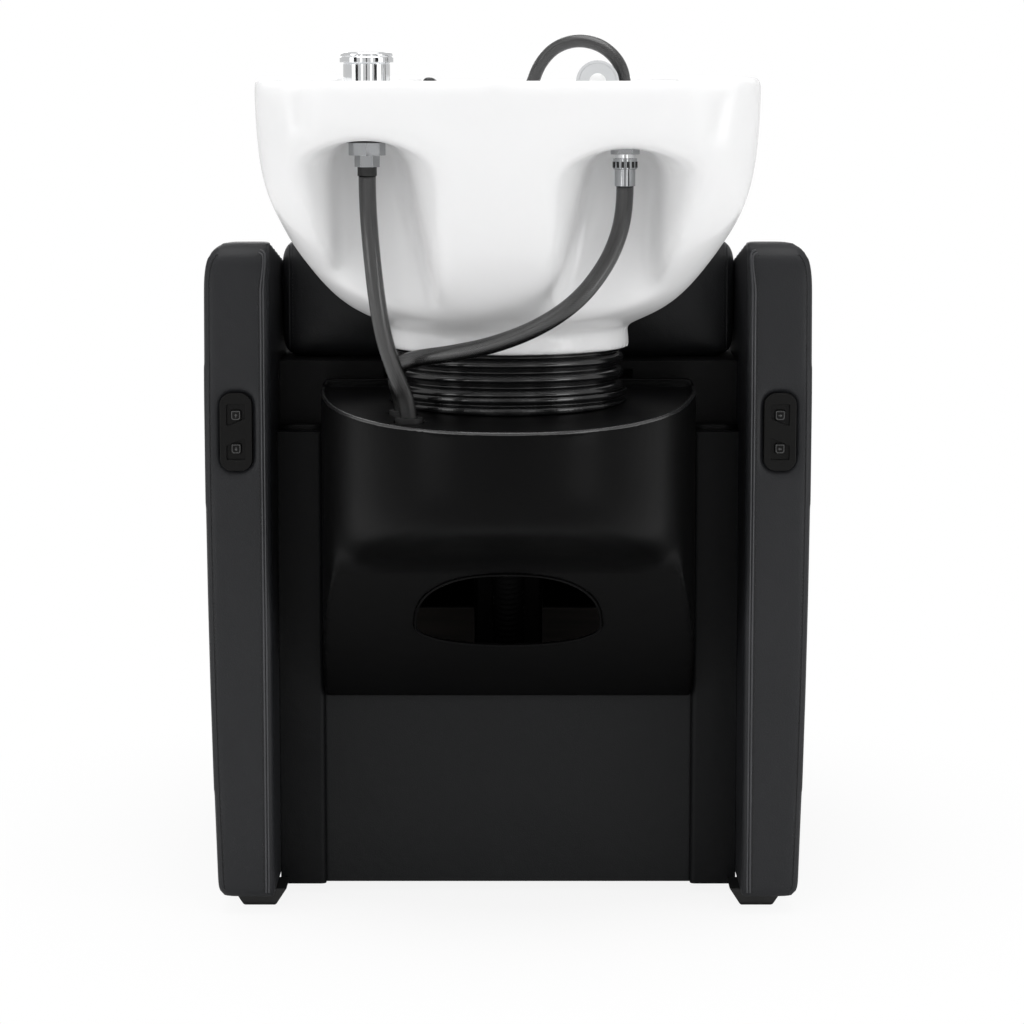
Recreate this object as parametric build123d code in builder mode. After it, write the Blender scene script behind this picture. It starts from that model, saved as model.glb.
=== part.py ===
from build123d import *
import math
import os

os.makedirs("parts", exist_ok=True)

# The frame: X runs across the chair, +Y points at the basin end and +Z is up.
# The origin is on the floor under the middle of the chair.

# Driving dimensions of the whole chair
DEPTH = 1380.0
ARM_SPAN = 670.0
ARM_WIDTH = 73.0
RIM_HEIGHT = 935.0
FLOOR_GAP = 26.0
ARM_FLOOR_GAP = 20.0
RUNNING_GAP = 0.3
PIN_GAP = 0.05
SHEET = 6.0
BOARD = 12.0

# Basin
BASIN_WIDTH = 516.0
BASIN_HEIGHT = 293.0
REACH_REAR = 300.0
REACH_FRONT = 300.0
FOOT_RADIUS = 133.0
FOOT_WALL = 14.0
FOOT_CAVITY = 26.0
DECK_DROP = 30.0
RIM_WALL = 18.0
TILT_DROP = 39.0

# Where the length is divided
ARM_SETBACK = 300.0
PILLAR_SETBACK = 100.0
PANEL_RECESS = 12.0
BAND_SETBACK = 40.0
RECLINE = 26.0

rear_y = DEPTH / 2
drain_y = rear_y - REACH_REAR
arm_rear_y = rear_y - ARM_SETBACK
arm_out_x = ARM_SPAN / 2
arm_in_x = arm_out_x - ARM_WIDTH
pillar_y = arm_rear_y - PILLAR_SETBACK
panel_y = pillar_y - PANEL_RECESS
band_y = pillar_y - BAND_SETBACK
foot_z = RIM_HEIGHT - BASIN_HEIGHT
deck_z = RIM_HEIGHT - DECK_DROP
tilt_z = foot_z - TILT_DROP
cavity_z = foot_z + FOOT_CAVITY

ARCH_STEPS = 12


def finish(piece, name):
    """Labels a piece and writes it."""
    piece.part.label = name
    export_step(piece.part, f"parts/{name}.step")


def rear_plane(y):
    """The plane across the chair at y, drawn as seen from the seat end."""
    return Plane.XZ.offset(-y)


def level(x, y, z):
    """The horizontal plane through a point."""
    return Plane((x, y, z))


def arch_points(half, rise, round_share):
    """Points of an arch from +half over its rise to -half: share 1 is an ellipse, less is squarer."""
    points = []
    for step in range(ARCH_STEPS + 1):
        angle = math.pi * step / ARCH_STEPS
        across = math.copysign(abs(math.cos(angle)) ** round_share, math.cos(angle))
        points.append((half * across, rise * abs(math.sin(angle)) ** round_share))
    return points


# Basin: a glazed ceramic bowl on a round foot, with a tap deck behind it.
# The bowl's sections are listed from the foot up. Heights are shares of the bowl's height,
# and the other columns are shares of half its width or of its reach from the drain.
WAIST_HEIGHT = 23.0
WAIST_DRAW = 2.0
BOWL_FLOOR = 58.0
DRAIN_HOLE_RADIUS = 24.0
SECTION_HEIGHT_SHARES = (0.0, 0.052, 0.130, 0.289, 0.445, 0.60, 0.80, 1.0)
SECTION_HALF_SHARES = (0.497, 0.600, 0.713, 0.838, 0.925, 0.974, 0.996, 1.0)
SECTION_REAR_SHARES = (0.439, 0.533, 0.650, 0.800, 0.907, 0.970, 0.994, 1.0)
SECTION_FRONT_SHARES = (0.439, 0.517, 0.593, 0.683, 0.783, 0.873, 0.973, 1.0)
REAR_CORNER_SHARES = (0.97, 0.92, 0.80, 0.62, 0.46, 0.36, 0.30, 0.29)
FRONT_CORNER_SHARES = (0.97, 0.95, 0.92, 0.88, 0.84, 0.80, 0.78, 0.76)
INNER_HEIGHT_SHARES = (0.240, 0.317, 0.454, 0.642, 0.83, 1.0)
INNER_HALF_SHARES = (0.30, 0.52, 0.70, 0.82, 0.895, 0.925, 0.932)
INNER_REAR_SHARES = (0.27, 0.36, 0.42, 0.455, 0.475, 0.485, 0.49)
INNER_FRONT_SHARES = (0.27, 0.42, 0.53, 0.65, 0.79, 0.89, 0.94)
INNER_CORNER_SHARE = 0.80
RIM_EDGE_RADIUS = 6.0

bowl_z = foot_z + WAIST_HEIGHT
bowl_height = RIM_HEIGHT - bowl_z
half_basin = BASIN_WIDTH / 2
floor_z = foot_z + BOWL_FLOOR
floor_share = BOWL_FLOOR / BASIN_HEIGHT


def basin_section(z, half, rear, front, rear_corner, front_corner):
    """One level outline of the bowl around the drain, with rounded corners."""
    with BuildSketch(level(0, drain_y, z)) as outline:
        with BuildLine():
            Polyline((-half, -front), (half, -front), (half, rear), (-half, rear), close=True)
        make_face()
        fillet(outline.vertices().group_by(Axis.Y)[-1], rear_corner)
        fillet(outline.vertices().group_by(Axis.Y)[0], front_corner)
    return outline.sketch


outer_sections = []
for height_share, half_share, rear_share, front_share, rear_corner, front_corner in zip(
    SECTION_HEIGHT_SHARES,
    SECTION_HALF_SHARES,
    SECTION_REAR_SHARES,
    SECTION_FRONT_SHARES,
    REAR_CORNER_SHARES,
    FRONT_CORNER_SHARES,
):
    half = half_basin * half_share
    rear = REACH_REAR * rear_share
    front = REACH_FRONT * front_share
    outer_sections.append(
        basin_section(
            bowl_z + bowl_height * height_share,
            half,
            rear,
            front,
            min(half, rear) * rear_corner,
            min(half, front) * front_corner,
        )
    )

inner_sections = []
for height_share, half_share, rear_share, front_share in zip(
    (floor_share, *INNER_HEIGHT_SHARES), INNER_HALF_SHARES, INNER_REAR_SHARES, INNER_FRONT_SHARES
):
    half = half_basin * half_share
    rear = REACH_REAR * rear_share
    front = REACH_FRONT * front_share
    rear_corner = min(half, rear) * INNER_CORNER_SHARE
    front_corner = min(half, front) * INNER_CORNER_SHARE
    inner_sections.append(
        basin_section(foot_z + BASIN_HEIGHT * height_share, half, rear, front, rear_corner, front_corner)
    )

# Tap deck: a level shelf inside the rear of the rim
DECK_FRONT = 138.0
DECK_CORNER = 62.0
deck_half = half_basin - RIM_WALL
deck_rear = REACH_REAR - RIM_WALL

# Neck notch: a rounded dip in the front of the rim
NECK_RADIUS = 118.0
NECK_DROP = 62.0
neck_y = drain_y - REACH_FRONT
neck_centre_z = RIM_HEIGHT - NECK_DROP + NECK_RADIUS
NECK_CUT_DEPTH = 60.0

# Hose alcoves: arched pockets in the rear wall, one under the tap and one under the hose union
TAP_X = 145.0
UNION_X = -121.0
TAP_FROM_DRAIN = 200.0
TAP_CEILING = 63.0
UNION_CEILING = 71.0
ALCOVE_DEPTH = 138.0
ALCOVE_OVERRUN = 10.0
ALCOVE_DEPTH_SHARES = (0.0, 0.35, 1.0)
ALCOVE_RISES = (38.0, 24.0, 12.0)
ALCOVE_HALVES = (94.0, 62.0, 34.0)
ALCOVE_FOOT_HALVES = (72.0, 66.0, 54.0)
ALCOVE_FOOT_SHIFTS = (20.0, 22.0, 24.0)
SHANK_RADIUS = 10.5
TAP_SPOT_RADIUS = 25.0
UNION_SPOT_RADIUS = 17.0
SPOT_DEPTH = 16.0
tap_y = drain_y + TAP_FROM_DRAIN
alcove_back_y = rear_y - ALCOVE_DEPTH
alcove_mouth_y = rear_y + ALCOVE_OVERRUN


def alcove_face(x, y, top_z, rise, half, foot_half, foot_shift):
    """The arched outline of a hose alcove at one depth, which leans inwards towards the foot."""
    spring_z = top_z - rise
    foot_x = x - math.copysign(foot_shift, x)
    with BuildSketch(rear_plane(y)) as arch:
        with BuildLine():
            ThreePointArc((x - half, spring_z), (x, top_z), (x + half, spring_z))
            Line((x + half, spring_z), (foot_x + foot_half, bowl_z))
            Line((foot_x + foot_half, bowl_z), (foot_x - foot_half, bowl_z))
            Line((foot_x - foot_half, bowl_z), (x - half, spring_z))
        make_face()
    return arch.sketch


alcove_faces = []
for x, ceiling in ((TAP_X, TAP_CEILING), (UNION_X, UNION_CEILING)):
    alcove_faces.append([
        alcove_face(
            x, alcove_mouth_y - share * (alcove_mouth_y - alcove_back_y), RIM_HEIGHT - ceiling, *sizes
        )
        for share, *sizes in zip(
            ALCOVE_DEPTH_SHARES, ALCOVE_RISES, ALCOVE_HALVES, ALCOVE_FOOT_HALVES, ALCOVE_FOOT_SHIFTS
        )
    ])

with BuildPart() as basin:
    loft(outer_sections)
    with BuildSketch(level(0, drain_y, foot_z)):
        Circle(FOOT_RADIUS)
    with BuildSketch(level(0, drain_y, bowl_z)):
        Circle(FOOT_RADIUS - WAIST_DRAW)
    loft()
    fillet(basin.faces().sort_by(Axis.Z)[-1].edges(), RIM_EDGE_RADIUS)
    loft(inner_sections, mode=Mode.SUBTRACT)
    with BuildSketch(level(0, drain_y, deck_z)) as deck_plan:
        with Locations((0, (DECK_FRONT + deck_rear) / 2)):
            Rectangle(2 * deck_half, deck_rear - DECK_FRONT)
        fillet(deck_plan.vertices().group_by(Axis.Y)[-1], DECK_CORNER)
    extrude(amount=DECK_DROP, mode=Mode.SUBTRACT)
    with BuildSketch(rear_plane(neck_y + NECK_CUT_DEPTH)):
        with Locations((0, neck_centre_z)):
            Circle(NECK_RADIUS)
    extrude(amount=2 * NECK_CUT_DEPTH, mode=Mode.SUBTRACT)
    for faces in alcove_faces:
        loft(faces, mode=Mode.SUBTRACT)
    with BuildSketch(level(0, drain_y, foot_z)):
        Circle(FOOT_RADIUS - FOOT_WALL)
    extrude(amount=FOOT_CAVITY, mode=Mode.SUBTRACT)
    with BuildSketch(level(0, drain_y, foot_z)):
        Circle(DRAIN_HOLE_RADIUS)
    extrude(amount=BASIN_HEIGHT, mode=Mode.SUBTRACT)
    with BuildSketch(level(0, tap_y, foot_z)):
        with Locations((TAP_X, 0), (UNION_X, 0)):
            Circle(SHANK_RADIUS + RUNNING_GAP)
    extrude(amount=BASIN_HEIGHT, mode=Mode.SUBTRACT)
    for x, ceiling, radius in (
        (TAP_X, TAP_CEILING, TAP_SPOT_RADIUS), (UNION_X, UNION_CEILING, UNION_SPOT_RADIUS)
    ):
        with BuildSketch(level(x, tap_y, RIM_HEIGHT - ceiling)):
            Circle(radius)
        extrude(amount=-SPOT_DEPTH, mode=Mode.SUBTRACT)
finish(basin, "basin")

# Neck rest: a soft saddle in the neck notch
NECK_REST_WALL = 14.0
NECK_REST_OVERHANG = 14.0
NECK_REST_REACH = 44.0
NECK_REST_EDGE = 5.0
neck_rest_outer = NECK_RADIUS - RUNNING_GAP
with BuildPart() as neck_rest:
    with BuildSketch(rear_plane(neck_y + NECK_REST_REACH)) as saddle:
        with Locations((0, neck_centre_z)):
            Circle(neck_rest_outer)
            Circle(neck_rest_outer - NECK_REST_WALL, mode=Mode.SUBTRACT)
        with Locations((0, RIM_HEIGHT + NECK_RADIUS)):
            Rectangle(2 * NECK_RADIUS, 2 * NECK_RADIUS, mode=Mode.SUBTRACT)
    extrude(amount=NECK_REST_REACH + NECK_REST_OVERHANG)
    fillet(neck_rest.edges().filter_by(Axis.Y), NECK_REST_EDGE)
finish(neck_rest, "neck_rest")

# Drain: flange, tail and the strainer cup that lifts out
FLANGE_RADIUS = 41.0
FLANGE_THICKNESS = 3.0
TAIL_RADIUS = 20.0
TAIL_WALL = 3.0
TAIL_DROP = 345.0
TAIL_NUT_RADIUS = 29.0
TAIL_NUT_HEIGHT = 10.0
TRAP_RADIUS = 32.0
TRAP_CUP_DEPTH = 15.0
TRAP_WALL = 1.5
TRAP_HOLES = 12
TRAP_HOLE_RADIUS = 1.9
TRAP_SMALL_HOLE = 1.4
TRAP_RING_RADIUS = 8.2
TRAP_OUTER_RING = 12.4
TRAP_KNOB_RADIUS = 5.0
TRAP_KNOB_HEIGHT = 9.0
neck_outer = DRAIN_HOLE_RADIUS - RUNNING_GAP
tail_bore = TAIL_RADIUS - TAIL_WALL
tail_top = floor_z - FLANGE_THICKNESS
tail_bottom = RIM_HEIGHT - TAIL_DROP

with BuildPart() as drain_flange:
    with BuildSketch(level(0, drain_y, floor_z)):
        Circle(FLANGE_RADIUS)
    extrude(amount=FLANGE_THICKNESS)
    with BuildSketch(level(0, drain_y, cavity_z)):
        Circle(neck_outer)
    extrude(amount=floor_z - cavity_z)
    with BuildSketch(level(0, drain_y, cavity_z)):
        Circle(TAIL_RADIUS + PIN_GAP)
    extrude(amount=floor_z - cavity_z + FLANGE_THICKNESS, mode=Mode.SUBTRACT)
    chamfer(drain_flange.faces().sort_by(Axis.Z)[-1].outer_wire().edges(), FLANGE_THICKNESS / 2)
finish(drain_flange, "drain_flange")

with BuildPart() as drain_tail:
    with BuildSketch(level(0, drain_y, tail_bottom)):
        Circle(TAIL_RADIUS)
    extrude(amount=tail_top - tail_bottom)
    with BuildSketch(level(0, drain_y, cavity_z)):
        RegularPolygon(TAIL_NUT_RADIUS, 8)
    extrude(amount=-TAIL_NUT_HEIGHT)
    with BuildSketch(level(0, drain_y, tail_bottom)):
        Circle(tail_bore)
    extrude(amount=tail_top - tail_bottom, mode=Mode.SUBTRACT)
finish(drain_tail, "drain_tail")

trap_z = floor_z + FLANGE_THICKNESS
cup_radius = tail_bore - 2 * RUNNING_GAP
with BuildPart() as hair_trap:
    with BuildSketch(level(0, drain_y, trap_z)):
        Circle(TRAP_RADIUS)
    extrude(amount=TRAP_WALL)
    with BuildSketch(level(0, drain_y, trap_z)):
        Circle(cup_radius)
        Circle(cup_radius - TRAP_WALL, mode=Mode.SUBTRACT)
    extrude(amount=-TRAP_CUP_DEPTH)
    with BuildSketch(level(0, drain_y, trap_z + TRAP_WALL)):
        Circle(TRAP_KNOB_RADIUS)
    extrude(amount=TRAP_KNOB_HEIGHT)
    fillet(hair_trap.faces().sort_by(Axis.Z)[-1].edges(), TRAP_KNOB_RADIUS / 3)
    with BuildSketch(level(0, drain_y, trap_z)):
        with PolarLocations(TRAP_RING_RADIUS, TRAP_HOLES):
            Circle(TRAP_SMALL_HOLE)
        with PolarLocations(TRAP_OUTER_RING, TRAP_HOLES):
            Circle(TRAP_HOLE_RADIUS)
    extrude(amount=TRAP_WALL, mode=Mode.SUBTRACT)
finish(hair_trap, "hair_trap")

# Tilt mounting: a cradle under the basin's foot turns on two pins in the bracket's ears
BRACKET_THICKNESS = 8.0
COLUMN_DROP = 387.0
EAR_THICKNESS = 8.0
EAR_INNER = 52.0
EAR_RADIUS = 14.0
EAR_WIDTH = 40.0
PIN_RADIUS = 6.0
PIN_HEAD_RADIUS = 9.0
PIN_HEAD = 4.0
LUG_GAP = 2.0
CRADLE_RADIUS = 104.0
CRADLE_THICKNESS = 8.0
CRADLE_BORE = 31.0
column_top = RIM_HEIGHT - COLUMN_DROP
bracket_z = column_top + BRACKET_THICKNESS
lug_out = EAR_INNER - LUG_GAP
lug_in = lug_out - EAR_THICKNESS
ear_out = EAR_INNER + EAR_THICKNESS


def ear_sketch(x, root_z, width):
    """A rounded ear seen from the side, from its root to the tilt axis."""
    with BuildSketch(Plane.YZ.offset(x)) as ear:
        with BuildLine():
            Line((drain_y - width / 2, root_z), (drain_y + width / 2, root_z))
            Line((drain_y + width / 2, root_z), (drain_y + EAR_RADIUS, tilt_z))
            ThreePointArc(
                (drain_y + EAR_RADIUS, tilt_z),
                (drain_y, tilt_z - math.copysign(EAR_RADIUS, root_z - tilt_z)),
                (drain_y - EAR_RADIUS, tilt_z),
            )
            Line((drain_y - EAR_RADIUS, tilt_z), (drain_y - width / 2, root_z))
        make_face()
        with Locations((drain_y, tilt_z)):
            Circle(PIN_RADIUS + PIN_GAP, mode=Mode.SUBTRACT)
    return ear.sketch


cradle_z = cavity_z - CRADLE_THICKNESS
cradle_lugs = [ear_sketch(x, cradle_z, EAR_WIDTH) for x in (lug_in, -lug_out)]
with BuildPart() as basin_cradle:
    with BuildSketch(level(0, drain_y, cradle_z)):
        Circle(CRADLE_RADIUS)
        Circle(CRADLE_BORE, mode=Mode.SUBTRACT)
    extrude(amount=CRADLE_THICKNESS)
    for lug in cradle_lugs:
        extrude(lug, amount=EAR_THICKNESS)
finish(basin_cradle, "basin_cradle")

with BuildPart() as tilt_pins:
    for side in (1, -1):
        with BuildSketch(Plane.YZ.offset(side * lug_in)):
            with Locations((drain_y, tilt_z)):
                Circle(PIN_RADIUS)
        extrude(amount=side * (ear_out + RUNNING_GAP - lug_in))
        with BuildSketch(Plane.YZ.offset(side * (ear_out + RUNNING_GAP))):
            with Locations((drain_y, tilt_z)):
                Circle(PIN_HEAD_RADIUS)
        extrude(amount=side * PIN_HEAD)
finish(tilt_pins, "tilt_pins")

# Base: a floor plate, a steel column and a bracket that reaches out under the basin
PLATE_REACH = 246.0
PILLAR_THICKNESS = 24.0
FLOOR_HOLE_RADIUS = 5.5
FLOOR_HOLE_X = 200.0
FLOOR_HOLE_INSET = 46.0
OUTLET_RADIUS = 16.0
OUTLET_BODY_RADIUS = 18.0
OUTLET_INSET = 34.0
COLUMN_WIDTH = 80.0
COLUMN_DEPTH = 60.0
COLUMN_WALL = 3.0
COLUMN_INSET = 101.0
COLUMN_FOOT = 120.0
COLUMN_FOOT_DEPTH = 72.0
plate_rear = pillar_y - PILLAR_THICKNESS
plate_front = plate_rear - PLATE_REACH
outlet_y = plate_rear - OUTLET_INSET
column_y = plate_rear - COLUMN_INSET
plate_top = FLOOR_GAP + SHEET
floor_hole_rows = (plate_rear - FLOOR_HOLE_INSET, plate_front + FLOOR_HOLE_INSET)
with BuildPart() as base_plate:
    with BuildSketch(level(0, (plate_front + plate_rear) / 2, FLOOR_GAP)):
        Rectangle(2 * arm_in_x, PLATE_REACH)
    extrude(amount=SHEET)
    with BuildSketch(level(0, 0, FLOOR_GAP)):
        with Locations([(side * FLOOR_HOLE_X, y) for side in (1, -1) for y in floor_hole_rows]):
            Circle(FLOOR_HOLE_RADIUS)
        with Locations((0, outlet_y)):
            Circle(OUTLET_BODY_RADIUS + RUNNING_GAP)
    extrude(amount=SHEET, mode=Mode.SUBTRACT)
finish(base_plate, "base_plate")

with BuildPart() as rear_column:
    with BuildSketch(level(0, column_y, plate_top)):
        Rectangle(COLUMN_FOOT, COLUMN_FOOT_DEPTH)
    extrude(amount=SHEET)
    with BuildSketch(level(0, column_y, plate_top)):
        RectangleRounded(COLUMN_WIDTH, COLUMN_DEPTH, 2 * COLUMN_WALL)
    extrude(amount=column_top - plate_top)
    with BuildSketch(level(0, column_y, plate_top)):
        RectangleRounded(COLUMN_WIDTH - 2 * COLUMN_WALL, COLUMN_DEPTH - 2 * COLUMN_WALL, COLUMN_WALL)
    extrude(amount=column_top - plate_top, mode=Mode.SUBTRACT)
finish(rear_column, "rear_column")

BRACKET_HALF = 60.0
BRACKET_TAIL = 60.0
WING_HALF = 40.0
WING_X = 95.0
WING_REACH = 175.0
WASTE_RADIUS = 19.0
GUSSET_DROP = 96.0
GUSSET_RUN = 130.0
GUSSET_X = 36.0
bracket_front = column_y - COLUMN_DEPTH / 2
bracket_rear = drain_y + BRACKET_TAIL
gusset_y = column_y + COLUMN_DEPTH / 2
bracket_ears = [ear_sketch(x, bracket_z, EAR_WIDTH) for x in (EAR_INNER, -ear_out)]
PORT_PLACES = ((104.0, 162.0), (112.0, 110.0))
MANIFOLD_PORTS = [(x, drain_y + behind) for x, behind in PORT_PLACES]
PORT_RADIUS = 9.0
PORT_RISE = 12.0
with BuildPart() as basin_bracket:
    with BuildSketch(level(0, 0, column_top)) as plan:
        with Locations((0, (bracket_front + bracket_rear) / 2)):
            Rectangle(2 * BRACKET_HALF, bracket_rear - bracket_front)
        with Locations((WING_X, drain_y + WING_REACH / 2)):
            Rectangle(2 * WING_HALF, WING_REACH)
        with Locations((0, drain_y)):
            Circle(WASTE_RADIUS + TAIL_WALL * 2, mode=Mode.SUBTRACT)
        with Locations(MANIFOLD_PORTS):
            Circle(PORT_RADIUS + RUNNING_GAP, mode=Mode.SUBTRACT)
    extrude(amount=BRACKET_THICKNESS)
    for ear in bracket_ears:
        extrude(ear, amount=EAR_THICKNESS)
    for side in (1, -1):
        with BuildSketch(Plane.YZ.offset(side * GUSSET_X - SHEET / 2)):
            with BuildLine():
                Polyline(
                    (gusset_y, column_top),
                    (gusset_y + GUSSET_RUN, column_top),
                    (gusset_y, column_top - GUSSET_DROP),
                    close=True,
                )
            make_face()
        extrude(amount=SHEET)
finish(basin_bracket, "basin_bracket")

MANIFOLD_HEIGHT = 40.0
MANIFOLD_WIDTH = 44.0
INLET_RADIUS = 9.3
INLET_DEPTH = 14.0
port_ys = [y for _, y in MANIFOLD_PORTS]
port_xs = [x for x, _ in MANIFOLD_PORTS]
manifold_x = sum(port_xs) / len(port_xs)
manifold_length = max(port_ys) - min(port_ys) + 2 * INLET_DEPTH
manifold_y = (max(port_ys) + min(port_ys)) / 2
with BuildPart() as water_manifold:
    with BuildSketch(level(manifold_x, manifold_y, column_top)) as block:
        RectangleRounded(MANIFOLD_WIDTH, manifold_length, SHEET)
    extrude(amount=-MANIFOLD_HEIGHT)
    with BuildSketch(level(0, 0, column_top)):
        with Locations(MANIFOLD_PORTS):
            Circle(PORT_RADIUS)
    extrude(amount=PORT_RISE)
    with BuildSketch(level(manifold_x, 0, column_top - MANIFOLD_HEIGHT)):
        with Locations((0, max(port_ys)), (0, min(port_ys))):
            Circle(INLET_RADIUS)
    extrude(amount=INLET_DEPTH, mode=Mode.SUBTRACT)
finish(water_manifold, "water_manifold")

OUTLET_TOP = 110.0
OUTLET_WALL = 2.5
OUTLET_COLLAR = 28.0
OUTLET_TAIL = 20.0
OUTLET_SHOULDER = 2.0
with BuildPart() as waste_outlet:
    with BuildSketch(level(0, outlet_y, FLOOR_GAP - OUTLET_TAIL)):
        Circle(OUTLET_RADIUS)
    extrude(amount=OUTLET_TAIL)
    with BuildSketch(level(0, outlet_y, FLOOR_GAP - OUTLET_SHOULDER)):
        Circle(OUTLET_BODY_RADIUS)
    extrude(amount=OUTLET_TOP - FLOOR_GAP + OUTLET_SHOULDER)
    with BuildSketch(level(0, outlet_y, plate_top)):
        Circle(OUTLET_COLLAR)
    extrude(amount=SHEET)
    with BuildSketch(level(0, outlet_y, FLOOR_GAP - OUTLET_TAIL)):
        Circle(OUTLET_RADIUS - OUTLET_WALL)
    extrude(amount=OUTLET_TOP - FLOOR_GAP + OUTLET_TAIL, mode=Mode.SUBTRACT)
finish(waste_outlet, "waste_outlet")

CONTROL_BOX_WIDTH = 110.0
CONTROL_BOX_LENGTH = 120.0
CONTROL_BOX_HEIGHT = 78.0
CONTROL_BOX_X = -145.0
CONTROL_BOX_INSET = 150.0
INLET_WIDTH = 28.0
INLET_HEIGHT = 20.0
INLET_RECESS = 10.0
control_box_y = plate_rear - CONTROL_BOX_INSET
with BuildPart() as control_box:
    with BuildSketch(level(CONTROL_BOX_X, control_box_y, plate_top)):
        RectangleRounded(CONTROL_BOX_WIDTH, CONTROL_BOX_LENGTH, SHEET)
    extrude(amount=CONTROL_BOX_HEIGHT)
    fillet(control_box.faces().sort_by(Axis.Z)[-1].edges(), SHEET / 2)
    with BuildSketch(rear_plane(control_box_y - CONTROL_BOX_LENGTH / 2 + INLET_RECESS)):
        with Locations((CONTROL_BOX_X, plate_top + CONTROL_BOX_HEIGHT / 2)):
            RectangleRounded(INLET_WIDTH, INLET_HEIGHT, SHEET / 2)
    extrude(amount=2 * INLET_RECESS, mode=Mode.SUBTRACT)
finish(control_box, "control_box")

# Arms: tall padded side panels with a sloping top and a round outer shoulder
ARM_TOP_DROP = 175.0
ARM_FRONT_DROP = 295.0
ARM_FRONT_SETBACK = 240.0
ARM_FRONT_RADIUS = 120.0
ARM_REAR_RADIUS = 30.0
ARM_TOE_RADIUS = 24.0
ARM_DRAW_IN = 9.0
ARM_CROWN = 4.0
SHOULDER_WIDTH = 43.0
SHOULDER_HEIGHT = 64.0
SHOULDER_ROUND_SHARE = 0.667
INNER_FALL = 18.0
INNER_ROUND_SHARE = 0.87
ARM_FOOT_CORNER = 13.0
arm_front_y = -rear_y + ARM_FRONT_SETBACK
arm_top = RIM_HEIGHT - ARM_TOP_DROP
arm_front_top = RIM_HEIGHT - ARM_FRONT_DROP
arm_foot_x = arm_out_x - ARM_DRAW_IN

# Control pads: set into the rear face of each arm
PAD_FROM_INSIDE = 38.0
PAD_BOTTOM_DROP = 431.5
PAD_HEIGHT = 86.5
PAD_WIDTH = 36.4
PAD_CORNER = 13.0
PAD_PROUD = 2.0
PAD_DEPTH = 12.0
PAD_RECESS = 3.5
pad_x = arm_in_x + PAD_FROM_INSIDE
pad_z = RIM_HEIGHT - PAD_BOTTOM_DROP + PAD_HEIGHT / 2


def arm_section(y, top_z):
    """The section of the left arm across its length."""
    shoulder_z = top_z - SHOULDER_HEIGHT
    inner_z = top_z - INNER_FALL
    crest_x = arm_out_x - SHOULDER_WIDTH
    mid_z = (ARM_FLOOR_GAP + shoulder_z) / 2
    mid_x = (arm_foot_x + arm_out_x) / 2 + ARM_CROWN
    outer = arch_points(SHOULDER_WIDTH, SHOULDER_HEIGHT, SHOULDER_ROUND_SHARE)[:ARCH_STEPS // 2 + 1]
    inner = arch_points(crest_x - arm_in_x, INNER_FALL, INNER_ROUND_SHARE)[ARCH_STEPS // 2:]
    with BuildSketch(rear_plane(y)) as section:
        with BuildLine():
            Line((arm_in_x, ARM_FLOOR_GAP), (arm_foot_x, ARM_FLOOR_GAP))
            ThreePointArc((arm_foot_x, ARM_FLOOR_GAP), (mid_x, mid_z), (arm_out_x, shoulder_z))
            Spline(*[(crest_x + x, shoulder_z + z) for x, z in outer], tangents=((0, 1), (-1, 0)))
            Spline(*[(crest_x + x, inner_z + z) for x, z in inner], tangents=((-1, 0), (0, -1)))
            Line((arm_in_x, inner_z), (arm_in_x, ARM_FLOOR_GAP))
        make_face()
        fillet(section.vertices().group_by(Axis.Y)[0].sort_by(Axis.X)[-1], ARM_FOOT_CORNER)
    return section.sketch


arm_sections = [arm_section(arm_rear_y, arm_top), arm_section(arm_front_y, arm_front_top)]
with BuildPart() as arm_left:
    loft(arm_sections, ruled=True)
    with BuildSketch(Plane.YZ.offset(arm_in_x)) as side_profile:
        with BuildLine():
            Polyline(
                (arm_rear_y, ARM_FLOOR_GAP),
                (arm_rear_y, arm_top),
                (arm_front_y, arm_front_top),
                (arm_front_y, ARM_FLOOR_GAP),
                close=True,
            )
        make_face()
        fillet(side_profile.vertices().sort_by(Axis.Y)[-1], ARM_REAR_RADIUS)
        fillet(side_profile.vertices().group_by(Axis.X)[0].sort_by(Axis.Y)[-1], ARM_FRONT_RADIUS)
        fillet(side_profile.vertices().group_by(Axis.X)[0].sort_by(Axis.Y)[0], ARM_TOE_RADIUS)
    extrude(amount=ARM_WIDTH + ARM_CROWN, mode=Mode.INTERSECT)
    with BuildSketch(rear_plane(arm_rear_y)):
        with Locations((pad_x, pad_z)):
            RectangleRounded(PAD_WIDTH, PAD_HEIGHT, PAD_CORNER)
    extrude(amount=PAD_DEPTH, mode=Mode.SUBTRACT)
finish(arm_left, "arm_left")

with BuildPart() as arm_right:
    mirror(arm_left.part, about=Plane.YZ)
finish(arm_right, "arm_right")

# Each bezel has two keys, one over the other, in recesses that slant towards each other.
KEY_WIDTH = 11.6
KEY_HEIGHT = 12.0
KEY_CORNER = 3.0
KEY_TRAVEL = 1.5
KEY_PROUD = 0.5
KEY_SPREAD = 37.0
RECESS_WIDTH = 21.0
RECESS_HEIGHT = 25.0
RECESS_SLANT = 9.0
RECESS_CORNER = 2.0
BEZEL_GAP = 0.2
pad_face_y = arm_rear_y + PAD_PROUD
recess_y = pad_face_y - PAD_RECESS
key_floor_y = recess_y - KEY_TRAVEL - PAD_RECESS


def key_recess(x, z, side, up):
    """The outline of the recess round one key, with one slanted edge."""
    left = x - RECESS_WIDTH / 2
    right = x + RECESS_WIDTH / 2
    far = z + up * RECESS_HEIGHT / 2
    near = z - up * RECESS_HEIGHT / 2
    left_slant = near + up * (RECESS_SLANT if side * up > 0 else 0)
    right_slant = near + up * (0 if side * up > 0 else RECESS_SLANT)
    with BuildSketch(rear_plane(pad_face_y)) as recess:
        with BuildLine():
            Polyline((left, far), (right, far), (right, right_slant), (left, left_slant), close=True)
        make_face()
        fillet(recess.vertices(), RECESS_CORNER)
    return recess.sketch


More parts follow.
